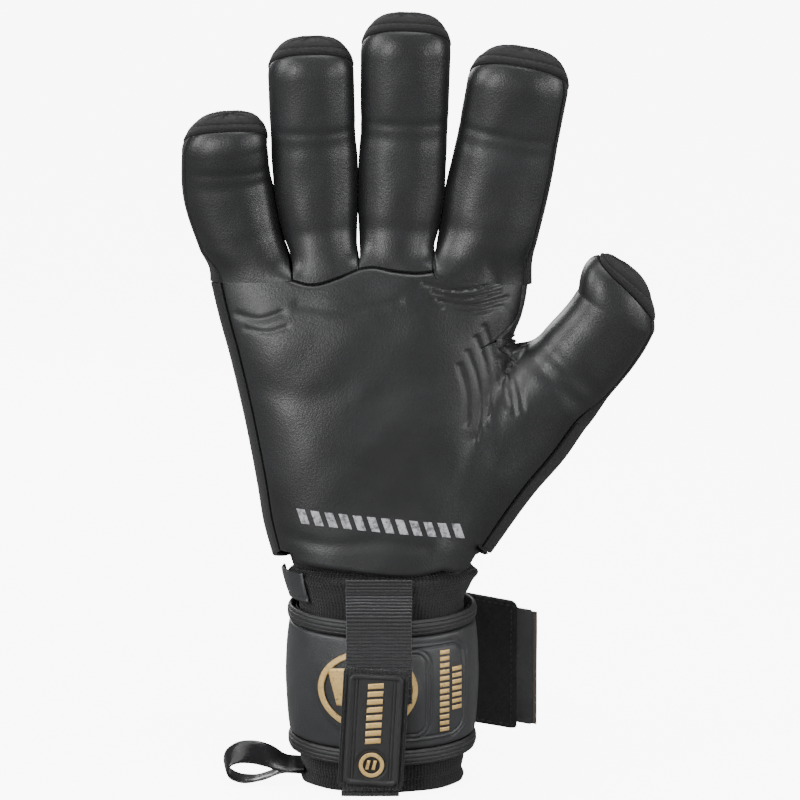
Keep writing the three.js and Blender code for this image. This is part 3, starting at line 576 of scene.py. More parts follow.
def unevenness(a, b, c=0.0):  # a few slow waves laid over each other, between about -1 and 1
    return (np.sin(a * 0.11 + b * 0.07 + 1.3) + np.sin(a * 0.05 - b * 0.13 + c)
            + 0.6 * np.sin(a * 0.23 + b * 0.19 + 2.1)
            + 0.5 * np.sin(a * 0.31 - b * 0.27 + c * 2)) / 3.1


# Wrinkles of the palm: a line, how deep and how wide.
palmWrinkles = [
    ([[15, 187.5], [26, 185], [36, 186], [46, 188.5]], -0.6, 0.7),
    ([[18, 184.6], [29, 182.2], [43, 184.4]], -0.5, 0.6),
    ([[20, 181.6], [31, 179.6], [45, 182]], -0.5, 0.65), ([[23, 178.4], [33, 177.2], [43, 179]], -0.35, 0.7),
    ([[37, 172], [40, 162], [43, 152], [45.5, 143]], -0.6, 0.7),
    ([[34, 168], [37.4, 158], [38.6, 147], [38, 137]], -0.65, 0.75),
    ([[31, 163], [34.6, 152], [35.4, 140], [34, 131]], -0.5, 0.8),
    ([[46, 158], [49.5, 150], [51, 142]], -0.5, 0.65),
    ([[42.6, 160], [46.6, 150], [48, 140]], -0.55, 0.7), ([[28, 158], [30.6, 148], [30.8, 137]], -0.5, 1.0),
    ([[-52, 176], [-44, 174.5], [-36, 177]], -0.5, 1.3), ([[-30, 180], [-12, 178], [6, 181]], -0.3, 1.9),
    ([[-49, 171], [-41, 170], [-34, 172]], -0.3, 1.0), ([[-44, 150], [-30, 146], [-14, 150]], -0.35, 5.0),
    ([[24, 96], [29, 112], [33, 130]], -0.5, 3.5), ([[-36, 96], [-20, 93], [0, 94], [16, 92]], -0.35, 2.5)]
palmMounds = [(-42, 165, 12, 0.9), (-14, 168, 13, 0.9), (14, 170, 13, 0.9), (36, 176, 9, 0.6),
              (-30, 118, 20, 0.8),
              (38, 118, 14, 1.0), (0, 135, 24, -1.1)]


def frontDepth(x, z):  # how far the latex stands in front of the middle plane
    a, b = palmDepth(x, z), thumbDepth(x, z, -1)
    height = np.maximum(a, b) + 2 * np.log1p(np.exp(-np.abs(a - b) / 2)) * (np.minimum(a, b) > 2)
    for line, deep, width in palmWrinkles:
        height = height + deep * groove(x, z, line, width)
    for mx, mz, size, rise in palmMounds:
        height = height + rise * np.exp(-((x - mx) ** 2 + (z - mz) ** 2) / size ** 2)
    return height + 0.28 * unevenness(x, z)


def backDepth(x, z):
    a, b = palmDepth(x, z), thumbDepth(x, z, 1)
    height = np.maximum(a, b) + 1.5 * np.log1p(np.exp(-np.abs(a - b) / 1.5)) * (np.minimum(a, b) > 2)
    bar = 0
    for foot, top in backBars:
        bar = bar + groove(x, z, [foot, top], 4.2)
    return height + 0.7 * np.minimum(bar, 1) + 0.2 * unevenness(x, z, 2.0)


# foot and top of the four low ridges on the back of the hand, from the little finger to the index
backBars = [((-34, 100), (-47, 184)), ((-14, 98), (-20, 186)), ((5, 98), (5, 186)), ((21, 104), (34, 184))]


def onSide(line, side):  # points (x, z) of an outline set on the front (side -1) or the back (side 1)
    line = np.asarray(line, float)
    depth = (frontDepth if side < 0 else backDepth)(line[:, 0], line[:, 1])
    return np.stack([line[:, 0], side * depth, line[:, 1]], 1)


# a Coons patch in x and z, lifted to the front or the back
def patchGrid(bottom, top, left, right, side, u, v):
    flat = coons(lineThrough(bottom, u), lineThrough(top, u), lineThrough(left, v), lineThrough(right, v),
                 u, v)
    depth = (frontDepth if side < 0 else backDepth)(flat[..., 0], flat[..., 1])
    return np.stack([flat[..., 0], side * depth, flat[..., 1]], -1)


# points at a share of the palm's half-width, on the little finger's side
def sideLine(share, low, high, count=9):
    z = np.linspace(low, high, count)
    left, right = spline(palm["height"], palm["left"], z), spline(palm["height"], palm["right"], z)
    return np.stack([(left + right) / 2 - share * (right - left) / 2, z], 1).tolist()


# an arc between two lines: straight across plus a half-wave outwards
def bridge(front, back, outward, bulge, count):
    v = np.linspace(0, 1, count)[None, :, None]
    swell = np.sin(math.pi * v) ** 0.8
    rise = np.asarray(bulge)[:, None, None]
    return front[:, None] * (1 - v) + back[:, None] * v + outward[:, None] * rise * swell


def flatNormals(line, toward):  # normals of a line, level in y, turned towards a direction
    ahead = np.gradient(line, axis=0)
    normal = np.stack([ahead[:, 2], ahead[:, 0] * 0, -ahead[:, 0]], 1)
    normal /= np.linalg.norm(normal, axis=1, keepdims=True)
    return normal * np.sign(np.sum(normal * toward, axis=1, keepdims=True))


# Outlines (x, z) of the hand's patches.
rootSeam = [[-32.1, 188.3], [-25.6, 186.9], [-15.7, 189.4], [-8.4, 192.4], [-3.7, 193.1], [3.3, 192],
            [13.9, 191.1],
            [18.6, 191.6]]
palmTopRight = [[18.6, 191.6], [20, 189], [30, 188], [41, 187], [51.5, 186]]
foldSeam = [[[21.9, 83], [27, 115], [33.5, 150], [36.3, 164]], [[36.3, 164], [41, 166]]]
indexSide = [[41, 166], [45, 169.5], [48.9, 173.7], [50.8, 180], [51.5, 186]]
thumbTopLine = [[[41, 166], [42.3, 163], [46, 160.5]], [[46, 160.5], [58.1, 148.5], [70.2, 136.5]]]
palmLeft = sideLine(0.935, 89, 187)
handLook = {"palm": {"bottom": [[palmLeft[0], [-32.5, 88.9]], [[-32.5, 88.9], [-31.2, 85.4]],
                                [[-31.2, 85.4], [-14.2, 83.4], [11.7, 81.4], [21.9, 83]]],
                     "top": [[palmLeft[-1], [-46, 187.5], rootSeam[0]], rootSeam, palmTopRight],
                     "left": palmLeft, "right": foldSeam + [indexSide]},
            "thumb": {"bottom": [[[21.9, 83], [29.9, 82.1], [31.4, 82.7]], [[31.4, 82.7], [35.8, 89.9]]],
                      "top": thumbTopLine, "left": foldSeam,
                      "right": [[35.8, 89.9], [52, 113], [62, 125], [70.2, 136.5]]},
            "rows": 170, "columns": 150}


def makeHandSide(side):
    # latex in front, coated backhand behind; the back's outlines reach further round the sides
    front = side < 0
    wide = dict(handLook["palm"])
    if not front:
        backLeft = sideLine(0.95, 83, 187)
        wide["left"] = backLeft
        wide["bottom"] = [backLeft[0], [-20, 83], [8, 83], [21.9, 83]]
        wide["top"] = [[backLeft[-1], [-46, 188], [-32, 188.5]], [[-32, 188.5], [-8, 190], [20, 189.5]],
                       [[20, 189.5], [51.5, 186]]]
    u, v = edgedShares(handLook["columns"], 100, 2, end=False), edgedShares(handLook["rows"], 105, 2)
    grid = patchGrid(wide["bottom"], wide["top"], wide["left"], wide["right"], side, u, v)
    x = grid[:, -1, 0]
    seamed = smoothStep((x + 34) / 3) * smoothStep((21 - x) / 3)
    aside = smoothStep((grid[-1, :, 2] - 163) / 3)  # the free edge along the web
    name, slot, material = ("palmLatex", "latex", latex) if front else ("backhandPanel", "backhand", coated)
    edges = {"u0": 1.0, "v0": 1.0, "v1": seamed if front else 0.0, "u1": aside}
    piece = sheetPiece(name, grid, palm["sheet"], material, (0, side, 0), edges, radius=palm["seam"])
    attach(piece, "hand", slot, ["palm_latex"] if front else ["backhand_panel"])
    part = handLook["thumb"]
    right = part["right"] if front else [[38.2, 86], [55.5, 110.5], [65.5, 122], [72.6, 133.2]]
    top = part["top"] if front else [part["top"][0], [[46, 160.5], [72.6, 133.2]]]
    bottom = part["bottom"] if front else [[21.9, 83], [30, 82.6], [38.2, 86]]
    u, v = edgedShares(46, 45, 2, start=False), edgedShares(84, 80, 2, end=False)
    grid = patchGrid(bottom, top, part["left"], right, side, u, v)
    name, material = ("thumbPad", latex) if front else ("thumbBack", coated)
    piece = sheetPiece(name, grid, palm["sheet"], material, (0, side, 0), {"u1": 1.0, "v0": 1.0},
                       radius=palm["seam"])
    attach(piece, "hand", slot, ["thumb_base_latex"] if front else ["thumb_base_back"],
           bend=thumbBend)


makeHandSide(-1)
makeHandSide(1)
print("stage: hand made")


def makeBand(name, frontLine, backLine, toward, bulge, count, node, material, bend=None):
    # a gusset strip: an arc from the latex's edge round to the backhand's edge
    shares = edgedShares(count, 80, 1.2)
    front, back = lineThrough(onSide(frontLine, -1), shares), lineThrough(onSide(backLine, 1), shares)
    out = flatNormals((front + back) / 2, toward)
    grid = bridge(front, back, out, np.full(len(shares), bulge), 22)
    piece = sheetPiece(name, grid, gussetLook["sheet"], material, out[:, None], {"u0": 1.0}, radius=0.7)
    attach(piece, "hand", "backhand", [node], bend)
    clothSheet(grid)
    return piece


def clothSheet(grid):  # measures a sheet's flat size from its own grid, the size it was cut to, and keeps nothing
    across, along = flatSize(grid)
    if min(across, along) < 0.0101:
        return  # a narrow tape


def flatSize(grid):  # a sheet's size when laid flat, in metres: the longest line each way
    along = float(np.max(np.sum(np.linalg.norm(np.diff(grid, axis=0), axis=2), 0))) * mm
    across = float(np.max(np.sum(np.linalg.norm(np.diff(grid, axis=1), axis=2), 1))) * mm
    return across, along


gussetLook = {"little": 3.4, "thumb": 3.0, "sheet": 1.8}  # how far the side strips swell, and their sheet
makeBand("littleSideGusset", sideLine(0.94, 89, 187), sideLine(0.955, 83, 187), (-1, 0, 0),
         gussetLook["little"], 80, "little_side_gusset", coated)
thumbSide = [[36.4, 89.6], [52.7, 112.6], [62.7, 124.6], [70.8, 136]]
makeBand("thumbSideGusset", thumbSide, [[38.4, 85.8], [55.7, 110.2], [65.7, 121.6], [72.9, 132.8]],
         (0.8, 0, -0.6), gussetLook["thumb"], 70, "thumb_side_gusset", bindingCloth, thumbBend)


def makeWeb():
    # a saddle between thumb and index: an arc across from latex to backhand, with a rolled lip in the crotch
    line = [[51.5, 186], [50.6, 180], [48.6, 174.2], [45.2, 170.2], [42, 167], [42.3, 163.6], [45.6, 161.2],
            [49.5, 157.5]]
    shares = edgedShares(64, 45, 1)
    front, back = lineThrough(onSide(line, -1), shares), lineThrough(onSide(line, 1), shares)
    out = flatNormals(front, (0.7, 0, 0.1))
    near = np.exp(-(((front[:, 0] - 42.5) ** 2 + (front[:, 2] - 165.5) ** 2) / 60))
    grid = bridge(front, back, out, 1.5 + 4.2 * near, 26)
    piece = sheetPiece("webGusset", grid, gussetLook["sheet"], coated, out[:, None],
                       {**allEdges, "u0": 0.0}, radius=0.7)
    attach(piece, "hand", "backhand", ["web_gusset"], bend=("thumb_base", (45, 0, 172), (47.5, 0, 160)))
    clothSheet(grid)


makeWeb()
print("stage: gussets made")


# Each finger: its axis, half sizes, domed end, seams (degrees round its section from its right side to
# the front), where its foot lies in front and behind, the foot's lowest height and how far up it keeps
# the hand's surface, and what stands out to its right and left to meet its neighbour.
fingers = {
    "little": {"axis": [[-44.5, 0, 176], [-50.6, -0.5, 201], [-55.6, -3, 222], [-56.2, -6.5, 236]],
               "width": [14.2, 14.6, 15.3, 14.8], "depth": [12, 11.6, 11.2, 11], "dome": 12, "lean": 2.5,
               "edge": (-19, 155), "foot": [[-32.1, 188.3], [-46, 187.5], palmLeft[-1]],
               "backFoot": [[-32, 188.5], [-46, 188], [-60.4, 187]], "low": 188,
               "right": [0.3, 0.8, 1.1, 0.6, 0.2], "left": [0.8, 0.9, 1.2, 0.9, 0.6], "reach": 12},
    "ring": {"axis": [[-19.6, 0, 176], [-21.9, -0.5, 202], [-24.3, -3, 232], [-25.2, -8, 262]],
             "width": [11.8, 12.7, 14.9, 15.2], "depth": [12.4, 12.2, 11.8, 11.4], "dome": 13, "lean": 0.5,
             "edge": (-19, 199), "foot": [rootSeam[3], rootSeam[2], rootSeam[1], rootSeam[0]],
             "backFoot": [[-8, 190], [-20, 189.3], [-32, 188.5]], "low": 190,
             "right": [0.6, 0.6, 0.9, 0.9, 0.2], "left": [0.3, 0.7, 1.3, 0.6, 0.2], "reach": 17},
    "middle": {"axis": [[4.6, 0, 176], [5.8, -0.5, 202], [7.8, -3, 234], [8.6, -8.5, 269.5]],
               "width": [12.9, 13.8, 15.3, 15.9], "depth": [12.4, 12.2, 11.8, 11.4], "dome": 14, "lean": 0.5,
               "edge": (-19, 199), "foot": [rootSeam[7], rootSeam[6], rootSeam[5], rootSeam[4], rootSeam[3]],
               "backFoot": [[20, 189.5], [6, 190], [-8, 190]], "low": 191.5,
               "right": [0.3, 0.6, 1.2, 0.5, 0.2], "left": [0.6, 0.6, 0.9, 0.9, 0.2], "reach": 17},
    "index": {"axis": [[34.4, 0, 176], [38.2, -0.5, 202], [43.8, -3, 231], [48.4, -8, 257]],
              "width": [17, 17.3, 17.9, 18], "depth": [12.8, 12.4, 12, 11.6], "dome": 14.5, "lean": 0.5,
              "edge": (25, 199), "foot": [[51.5, 186], [41, 187], [30, 188], [20, 189], [18.6, 191.6]],
              "backFoot": [[51.5, 186], [36, 188], [20, 189.5]], "low": 188,
              "right": [0.3, 0.5, 0.8, 0.6, 0.2], "left": [0.6, 0.7, 0.9, 0.4, 0.1], "reach": 17}}
fingerLook = {"sheet": 3.6, "cover": 3.0, "seam": 0.9, "rows": 96, "columns": 52, "crease": 0.32}


def chordKeys(axis):  # the share of its length at which each of an axis's points lies
    length = np.r_[0, np.cumsum(np.linalg.norm(np.diff(np.asarray(axis, float), axis=0), axis=1))]
    return length / length[-1]


def tubeSection(look, t, angle, grow=0.0):
    # points of a finger: along its axis, and for t past 1 round its dome by a quarter turn, at an angle
    # round its section (0 right, 90 front, 180 left): centre + across * width * cos^(2/p) - deep *
    # depth * sin^(2/p)
    t, angle = np.broadcast_arrays(np.atleast_2d(np.asarray(t).T).T if np.ndim(t) < 2 else t,
                                   np.asarray(angle)[None])
    keys = chordKeys(look["axis"])
    body = np.clip(t, 0, 1)
    rise = np.clip(t - 1, 0, 1) * math.pi / 2
    centre = spline(keys, look["axis"], body)
    ahead = (spline(keys, look["axis"], np.clip(body + 0.01, 0, 1))
             - spline(keys, look["axis"], np.clip(body - 0.01, 0, 1)))
    ahead /= np.linalg.norm(ahead, axis=-1, keepdims=True)
    across = np.cross([0, 1, 0], ahead)
    across /= np.linalg.norm(across, axis=-1, keepdims=True)
    deep = np.cross(ahead, across)
    size = np.cos(rise) ** 0.75
    centre = (centre + ahead * (look["dome"] * np.sin(rise))[..., None]
              + across * (look["lean"] * np.sin(rise))[..., None])
    width = spline(keys, look["width"], body) * size + grow
    depth = spline(keys, look["depth"], body) * size + grow
    bend = lambda value: np.sign(value) * np.abs(value) ** (2 / power)
    c, s = bend(np.cos(angle)), bend(np.sin(angle))
    if "right" in look:
        heights = [190, 201, 218, 229, 240]
        width = width + np.where(c > 0, spline(heights, look["right"], centre[..., 2]),
                                 spline(heights, look["left"], centre[..., 2])) * size
    return centre + across * (width * c)[..., None] - deep * (depth * s)[..., None], centre


def axisShare(look, height):  # the share of a finger's axis at a height
    shares = np.linspace(0, 1, 400)
    return float(np.interp(height, spline(chordKeys(look["axis"]), look["axis"], shares)[:, 2], shares))


def capStart(angle, look, front=46, side=8):  # where the tip's binding starts, as a share of the dome
    # the thumb's binding runs down its outer side and leaves the latex up to the inner corner
    if "skew" in look:
        return (side + look["skew"] * ((1 - np.cos(angle)) / 2) ** 0.6) / 90
    return (side + (front - side) * np.abs(np.sin(angle)) ** 0.55) / 90


def fingerGrid(look, angles, root, low, high):
    # rows rise from the foot line, where they keep the hand's surface, and turn into the tube by the
    # height high
    start = axisShare(look, low)
    body = np.linspace(start, 1, fingerLook["rows"])[:, None] + 0 * angles[None]
    dome = 1 + np.linspace(0, 1, 18)[1:, None] * capStart(angles, look)[None]
    grid, centre = tubeSection(look, np.concatenate([body, dome]), angles)
    rise = centre[..., 2] - low
    share = smoothStep(rise / (high - low))[..., None]
    lifted = root[None] + np.array([0, 0, 1.0]) * np.maximum(rise, 0)[..., None]
    return lifted * (1 - share) + grid * share, centre


# soft dents across a finger where it bends, deepest in the middle
def addCreases(grid, centre, places, deep, side):
    columns = np.sin(np.linspace(0, math.pi, grid.shape[1])) ** 0.5
    dent = 0
    for height, width in places:
        dent = dent + np.exp(-((centre[..., 2] - height) / width) ** 2)
    wave = 0.22 * unevenness(grid[..., 0] * 1.4, grid[..., 2] * 1.3, side)
    normal = gridNormals(grid, grid - centre)
    return grid - normal * ((deep * dent - wave) * columns)[..., None]


def makeFinger(name, look):
    knuckle, middle = pivot(name + "_knuckle_bend"), pivot(name + "_middle_bend")
    base, tip = name + "_base", name + "_tip"
    knuckleHalf = np.array([0, 0, look["reach"]])
    middleHalf = np.array([0, 0, min(look["reach"], (middle[2] - knuckle[2]) / 2 - 0.5)])
    bends = [dict(body="hand", bend=(base, knuckle - knuckleHalf, knuckle + knuckleHalf)),
             dict(body=base, bend=(tip, middle - middleHalf, middle + middleHalf))]
    high = knuckle[2] + 3
    rightEdge, leftEdge = np.radians(look["edge"])
    sheets = [("Latex", rightEdge, leftEdge,
               onSide(lineThrough(look["foot"], np.linspace(0, 1, fingerLook["columns"])), -1),
               fingerLook["sheet"], latex, "latex", [base + "_latex"], [tip + "_latex"]),
              ("Back", np.radians(341), np.radians(199),
               onSide(lineThrough(look["backFoot"], np.linspace(0, 1, fingerLook["columns"])), 1),
               fingerLook["cover"], coated, "backhand", [base + "_back"], [tip + "_back"])]
    if look["edge"][0] > 0:
        sheets.append(("Side", np.radians(-19), rightEdge, None, gussetLook["sheet"], bindingCloth,
                       "backhand", [], []))
    if look["edge"][1] < 180:
        sheets.append(("Side", leftEdge, np.radians(199), None, gussetLook["sheet"], bindingCloth,
                       "backhand", [], []))
    for part, first, last, root, thick, material, slot, baseNodes, tipNodes in sheets:
        count = fingerLook["columns"] if root is not None else 14
        angles = np.linspace(first, last, count)
        if part == "Latex":
            ease = np.linspace(-1, 1, count)
            angles = (first + last) / 2 + (last - first) / 2 * (0.78 * ease + 0.22 * ease ** 3)
        if root is None:
            right = look["edge"][0] > 0
            foot = np.array([look["foot"][0] if right else look["foot"][-1]])
            backFoot = np.array([look["backFoot"][0] if right else look["backFoot"][-1]])
            ends = onSide(foot, -1), onSide(backFoot, 1)
            lines = (ends[1], ends[0]) if right else ends
            out = np.array([[1.0 if right else -1.0, 0, 0]])
            root = bridge(lines[0], lines[1], out, np.array([3.0]), count)[0]
        grid, centre = fingerGrid(look, angles, root, look["low"], high)
        if part != "Side":
            grid = addCreases(grid, centre, [(knuckle[2] + 2, 3.5), (middle[2], 3.2), (middle[2] + 5, 1.8)],
                              fingerLook["crease"], 0.5 if part == "Latex" else 2.5)
        cut = int(np.argmin(np.abs(centre[:, 0, 2] - (knuckle[2] + middle[2]) / 2)))
        seamless = part == "Latex" and name in ("little", "index") or part != "Latex"
        edges = {"v0": 1.0, "v1": 1.0, "u0": 0.0 if seamless else 1.0, "u1": 1.0}
        made = sheetPieces([(base + part, 0, cut), (tip + part, cut, len(grid) - 1)], grid, thick, material,
                           grid - centre, edges, radius=fingerLook["seam"])
        for piece, nodes, how in zip(made, (baseNodes, tipNodes), bends):
            attach(piece, slot=slot, nodes=nodes, **how)
            if part == "Side":
                rows = grid[:cut + 1] if piece is made[0] else grid[cut:]
                clothSheet(rows)
    makeCap(name, look, tip)


def makeCap(name, look, body):
    # the binding over the very end: two rolled edges of tape with a sewn line between them, closed at
    # the pole
    angles = np.linspace(0, 2 * math.pi, 72, endpoint=False)
    share = np.concatenate([[0, 0.012, 0.05, 0.1], np.linspace(0.16, 1, 22)])[:, None]
    start = capStart(angles, look)[None] + 0.012
    edge = np.sqrt(np.clip(1 - np.clip(1 - share / 0.1, 0, 1) ** 2, 0, 1))
    groove = np.exp(-((share - 0.3) / 0.045) ** 2)
    grow = -0.9 + 1.35 * edge - 0.5 * groove + 0.3 * np.exp(-((share - 0.55) / 0.2) ** 2)
    grow = grow + 0.12 * np.sin(angles[None] * 40) * edge
    t = 1 + start + share * (0.985 - start)
    grid, centre = tubeSection(look, t, angles, 0.0)
    out = gridNormals(grid, grid - centre + 1e-6)
    flat = np.broadcast_to(np.array([0, 0, 1.0]), grid.shape)
    out = out * (1 - share[..., None] ** 8) + flat * share[..., None] ** 8
    grid = grid + out * grow[..., None]
    rows, columns = grid.shape[:2]
    pole = grid[-1].mean(0)
    drop = (grid[-1].mean(0) - grid[0].mean(0))
    inner = grid - out * 1.6 - drop * 0.02
    points = np.concatenate([grid.reshape(-1, 3), pole[None], inner.reshape(-1, 3), inner[-1].mean(0)[None]])
    count = rows * columns + 1
    ring = quads(rows, columns + 1)
    ring = (ring // (columns + 1)) * columns + ring % (columns + 1) % columns
    last = np.arange(columns)
    top = np.stack([(rows - 1) * columns + last, (rows - 1) * columns + (last + 1) % columns,
                    last * 0 + count - 1], 1)
    rim = np.stack([last, (last + 1) % columns, (last + 1) % columns + count, last + count], 1)
    faces = ring.tolist() + top.tolist() + (ring + count)[:, ::-1].tolist() + (top
            + count)[:, ::-1].tolist() + rim.tolist()
    around = np.linspace(0, 90, columns)[None].repeat(rows, 0)
    up = (share * 13).repeat(columns, 1)
    flatPlace = np.stack([around, up, up * 0], -1).reshape(-1, 3)
    piece = meshPiece(name + "TipBinding", points, faces, bindingCloth,
                      np.concatenate([flatPlace, flatPlace[:1]] * 2))
    fixNormals(piece)
    attach(piece, body, "binding", [name + "_tip_binding"])
    row = int(np.argmin(np.abs(share - 0.3)))
    path = np.concatenate([grid[row], grid[row, :1]])
    sew(body, name + "TipStitch", path, np.concatenate([out[row], out[row, :1]]), "tip")


def fixNormals(piece):
    made = bmesh.new()
    made.from_mesh(piece.data)
    bmesh.ops.recalc_face_normals(made, faces=made.faces)
    made.to_mesh(piece.data)
    made.free()


for fingerName, fingerShape in fingers.items():
    makeFinger(fingerName, fingerShape)
print("stage: fingers made")


def makeThumbEnd():
    # the thumb from its cut line to the tip: its foot keeps the hand's surface and turns into the tube
    look = {"axis": thumb["axis"], "width": thumb["width"], "depth": thumb["depth"], "dome": thumb["dome"],
            "lean": thumb["lean"], "skew": 58}
    start, full = 0.635, 0.77
    way = thumb["way"]
    bend = dict(body="thumb_base", bend=("thumb_tip", thumbTip - way * 10, thumbTip + way * 12))
    cut = [[70.2, 136.5], [58.1, 148.5], [46, 160.5]]
    sheets = [("thumbTipLatex", np.radians(27), np.radians(197), -1, cut, 52, fingerLook["sheet"], latex,
               "latex", "thumb_tip_latex"),
              ("thumbTipBack", np.radians(341), np.radians(203), 1,
               [[72.6, 133.2], [58.1, 148.5], [46, 160.5]], 52,
               fingerLook["cover"], coated, "backhand", "thumb_tip_back"),
              ("thumbTipSide", np.radians(-19), np.radians(27), 0, cut, 14, gussetLook["sheet"],
               bindingCloth, "backhand", None)]
    for name, first, last, side, foot, count, thick, material, slot, node in sheets:
        angles = np.linspace(first, last, count)
        if side:
            root = onSide(lineThrough(foot, np.linspace(0, 1, count)), side)
        else:
            front, back = onSide(np.array([[70.8, 136]]), -1), onSide(np.array([[72.9, 132.8]]), 1)
            root = bridge(back, front, np.array([[0.76, 0, -0.65]]), np.array([gussetLook["thumb"]]),
                          count)[0]
        body = np.linspace(start, 1, 80)[:, None] + 0 * angles[None]
        t = np.concatenate([body, 1 + np.linspace(0, 1, 18)[1:, None] * capStart(angles, look)[None]])
        grid, centre = tubeSection(look, t, angles)
        share = smoothStep((t - start) / (full - start))[..., None]
        rise = np.sum((centre - centre[0]) * way, axis=-1)
        lifted = root[None] + way * np.maximum(rise, 0)[..., None]
        grid = lifted * (1 - share) + grid * share
        if side:
            columns = np.sin(np.linspace(0, math.pi, count)) ** 0.5
            along = np.sum((centre - thumbTip) * way, axis=-1)
            dent = 0.6 * np.exp(-((along - 2) / 3.2) ** 2) + 0.4 * np.exp(-((along + 5) / 2.6) ** 2)
            normal = gridNormals(grid, grid - centre)
            wave = 0.22 * unevenness(grid[..., 0] * 1.4, grid[..., 2] * 1.3, side + 1.7)
            grid = grid - normal * ((dent - wave) * columns)[..., None]
        edges = {"v0": 1.0, "v1": 1.0, "u1": 1.0}
        piece = sheetPiece(name, grid, thick, material, grid - centre, edges, radius=fingerLook["seam"])
        attach(piece, slot=slot, nodes=[node] if node else [], **bend)
        if side:
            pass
        else:
            clothSheet(grid)
    makeCap("thumb", look, "thumb_tip")


makeThumbEnd()
print("stage: thumb made")


# the bandage's last stretch turns in behind the palm's hem
cuffLook = {"height": [1, 15, 60, 71.5, 76.5, 79.6, 81.6, 86],
            "width": [29.6, 30.6, 30.8, 31, 33.6, 35, 33, 32.2],
            "depth": [21.6, 22.4, 22.8, 22.8, 21.6, 20.8, 17, 16.2], "wall": 1.2}
strapLook = {"width": 36.2, "depth": 28.2, "bottom": 20.5, "top": 62, "crown": 1.4, "wall": 2.6, "tilt": 0.08,
             "from": 152, "to": 480, "binding": 6.4, "inset": 1.9}


# a point on an oval round the wrist, from the front towards the thumb
def ringPoint(angle, height, width, depth, tilt=0.0):
    x, y = width * np.sin(angle), -depth * np.cos(angle)
    return np.stack(np.broadcast_arrays(x, y, height + tilt * y), -1)


def fromWrist(grid):  # level directions from the wrist's axis to a grid's points
    return np.concatenate([grid[..., :2], grid[..., :1] * 0], -1)


def makeBandage():
    angle = np.linspace(0, 2 * math.pi, 220, endpoint=False)[:, None]
    z = np.concatenate([1 + np.array([0, 0.1, 0.4, 0.9]), np.linspace(2.6, 84.6, 140),
                        86 - np.array([0.9, 0.4, 0.1, 0])])[None]
    width, depth = (spline(cuffLook["height"], cuffLook[key], z) for key in ("width", "depth"))
    # soft folds: a few slow waves round the wrist that fade towards the hem, and shallow level gathers
    swell = (0.35 * np.sin(angle * 5 + z * 0.16) * np.exp(-((z - 70) / 9) ** 2)
             + 0.22 * np.sin(angle * 9 + 1.0 + z * 0.3))
    gather = (0.25 * np.sin(z * 0.9 + 0.8 * np.sin(angle * 3))
              * (np.exp(-((z - 7) / 6) ** 2) + np.exp(-((z - 74) / 5) ** 2)))
    hemBead = 0.5 * np.exp(-((z - 3.4) / 1.1) ** 2) - 0.35 * np.exp(-((z - 5.6) / 0.5) ** 2)
    push = swell + gather + hemBead
    grid = ringPoint(angle, z + 0 * angle, width + push, depth + push)
    place = np.stack([angle * 27 + 0 * z, z + 0 * angle, 0 * (angle + z)], -1)
    outward = fromWrist(grid)
    piece = sheetPiece("wristBandage", grid, cuffLook["wall"], bandKnit, outward, longEdges, wrap=True,
                       radius=0.6, place=place)
    attach(piece, "hand", "bandage_knit", ["wrist_bandage"])
    clothSheet(np.concatenate([grid, grid[:1]]))


def strapAngles(count):
    return np.radians(np.linspace(strapLook["from"], strapLook["to"], count))


def strapFaceDepth(share):  # how far the strap's face falls back from its crown at a share of its height
    return strapLook["crown"] * (2 * share - 1) ** 2


def strapPoint(x, z, lift=0.0):  # a point on the strap's front face straight in front of x and z
    share = np.clip((z - strapLook["bottom"] + 2) / (strapLook["top"] - strapLook["bottom"]), 0, 1)
    width, depth = strapLook["width"] - strapFaceDepth(share), strapLook["depth"] - strapFaceDepth(share)
    y = -depth * np.sqrt(np.clip(1 - (x / width) ** 2, 0.001, 1))
    normal = np.stack([x / width ** 2, y / depth ** 2, 0 * x], -1)
    normal /= np.linalg.norm(normal, axis=-1, keepdims=True)
    return np.stack([x, y, z], -1) + normal * np.asarray(lift)[..., None], normal


def boxAway(x, z, left, right, low, high, corner):  # distance outside a rounded rectangle, negative inside it
    cx = np.abs(x - (left + right) / 2) - (right - left) / 2 + corner
    cz = np.abs(z - (low + high) / 2) - (high - low) / 2 + corner
    return np.hypot(np.maximum(cx, 0), np.maximum(cz, 0)) + np.minimum(np.maximum(cx, cz), 0) - corner


# 1 inside a rounded rectangle, 0 outside, soft at its edge
def boxShare(x, z, left, right, low, high, corner, soft):
    return smoothStep(0.5 - boxAway(x, z, left, right, low, high, corner) / soft)


def doubleLine(away, apart=1.7, wide=0.42):  # a bell-shaped groove on an outline, and one set in from it
    return np.exp(-(away / wide) ** 2) + np.exp(-((away + apart) / wide) ** 2)


# left, right, foot, top and corner of each
strapPanels = [(-20, 31.6, 23.2, 59.6, 6), (-30, 18.2, 24.6, 57.6, 6)]
emblemLook = {"x": -5, "z": 41, "across": 18, "up": 15, "band": 2.2, "thick": 0.7}


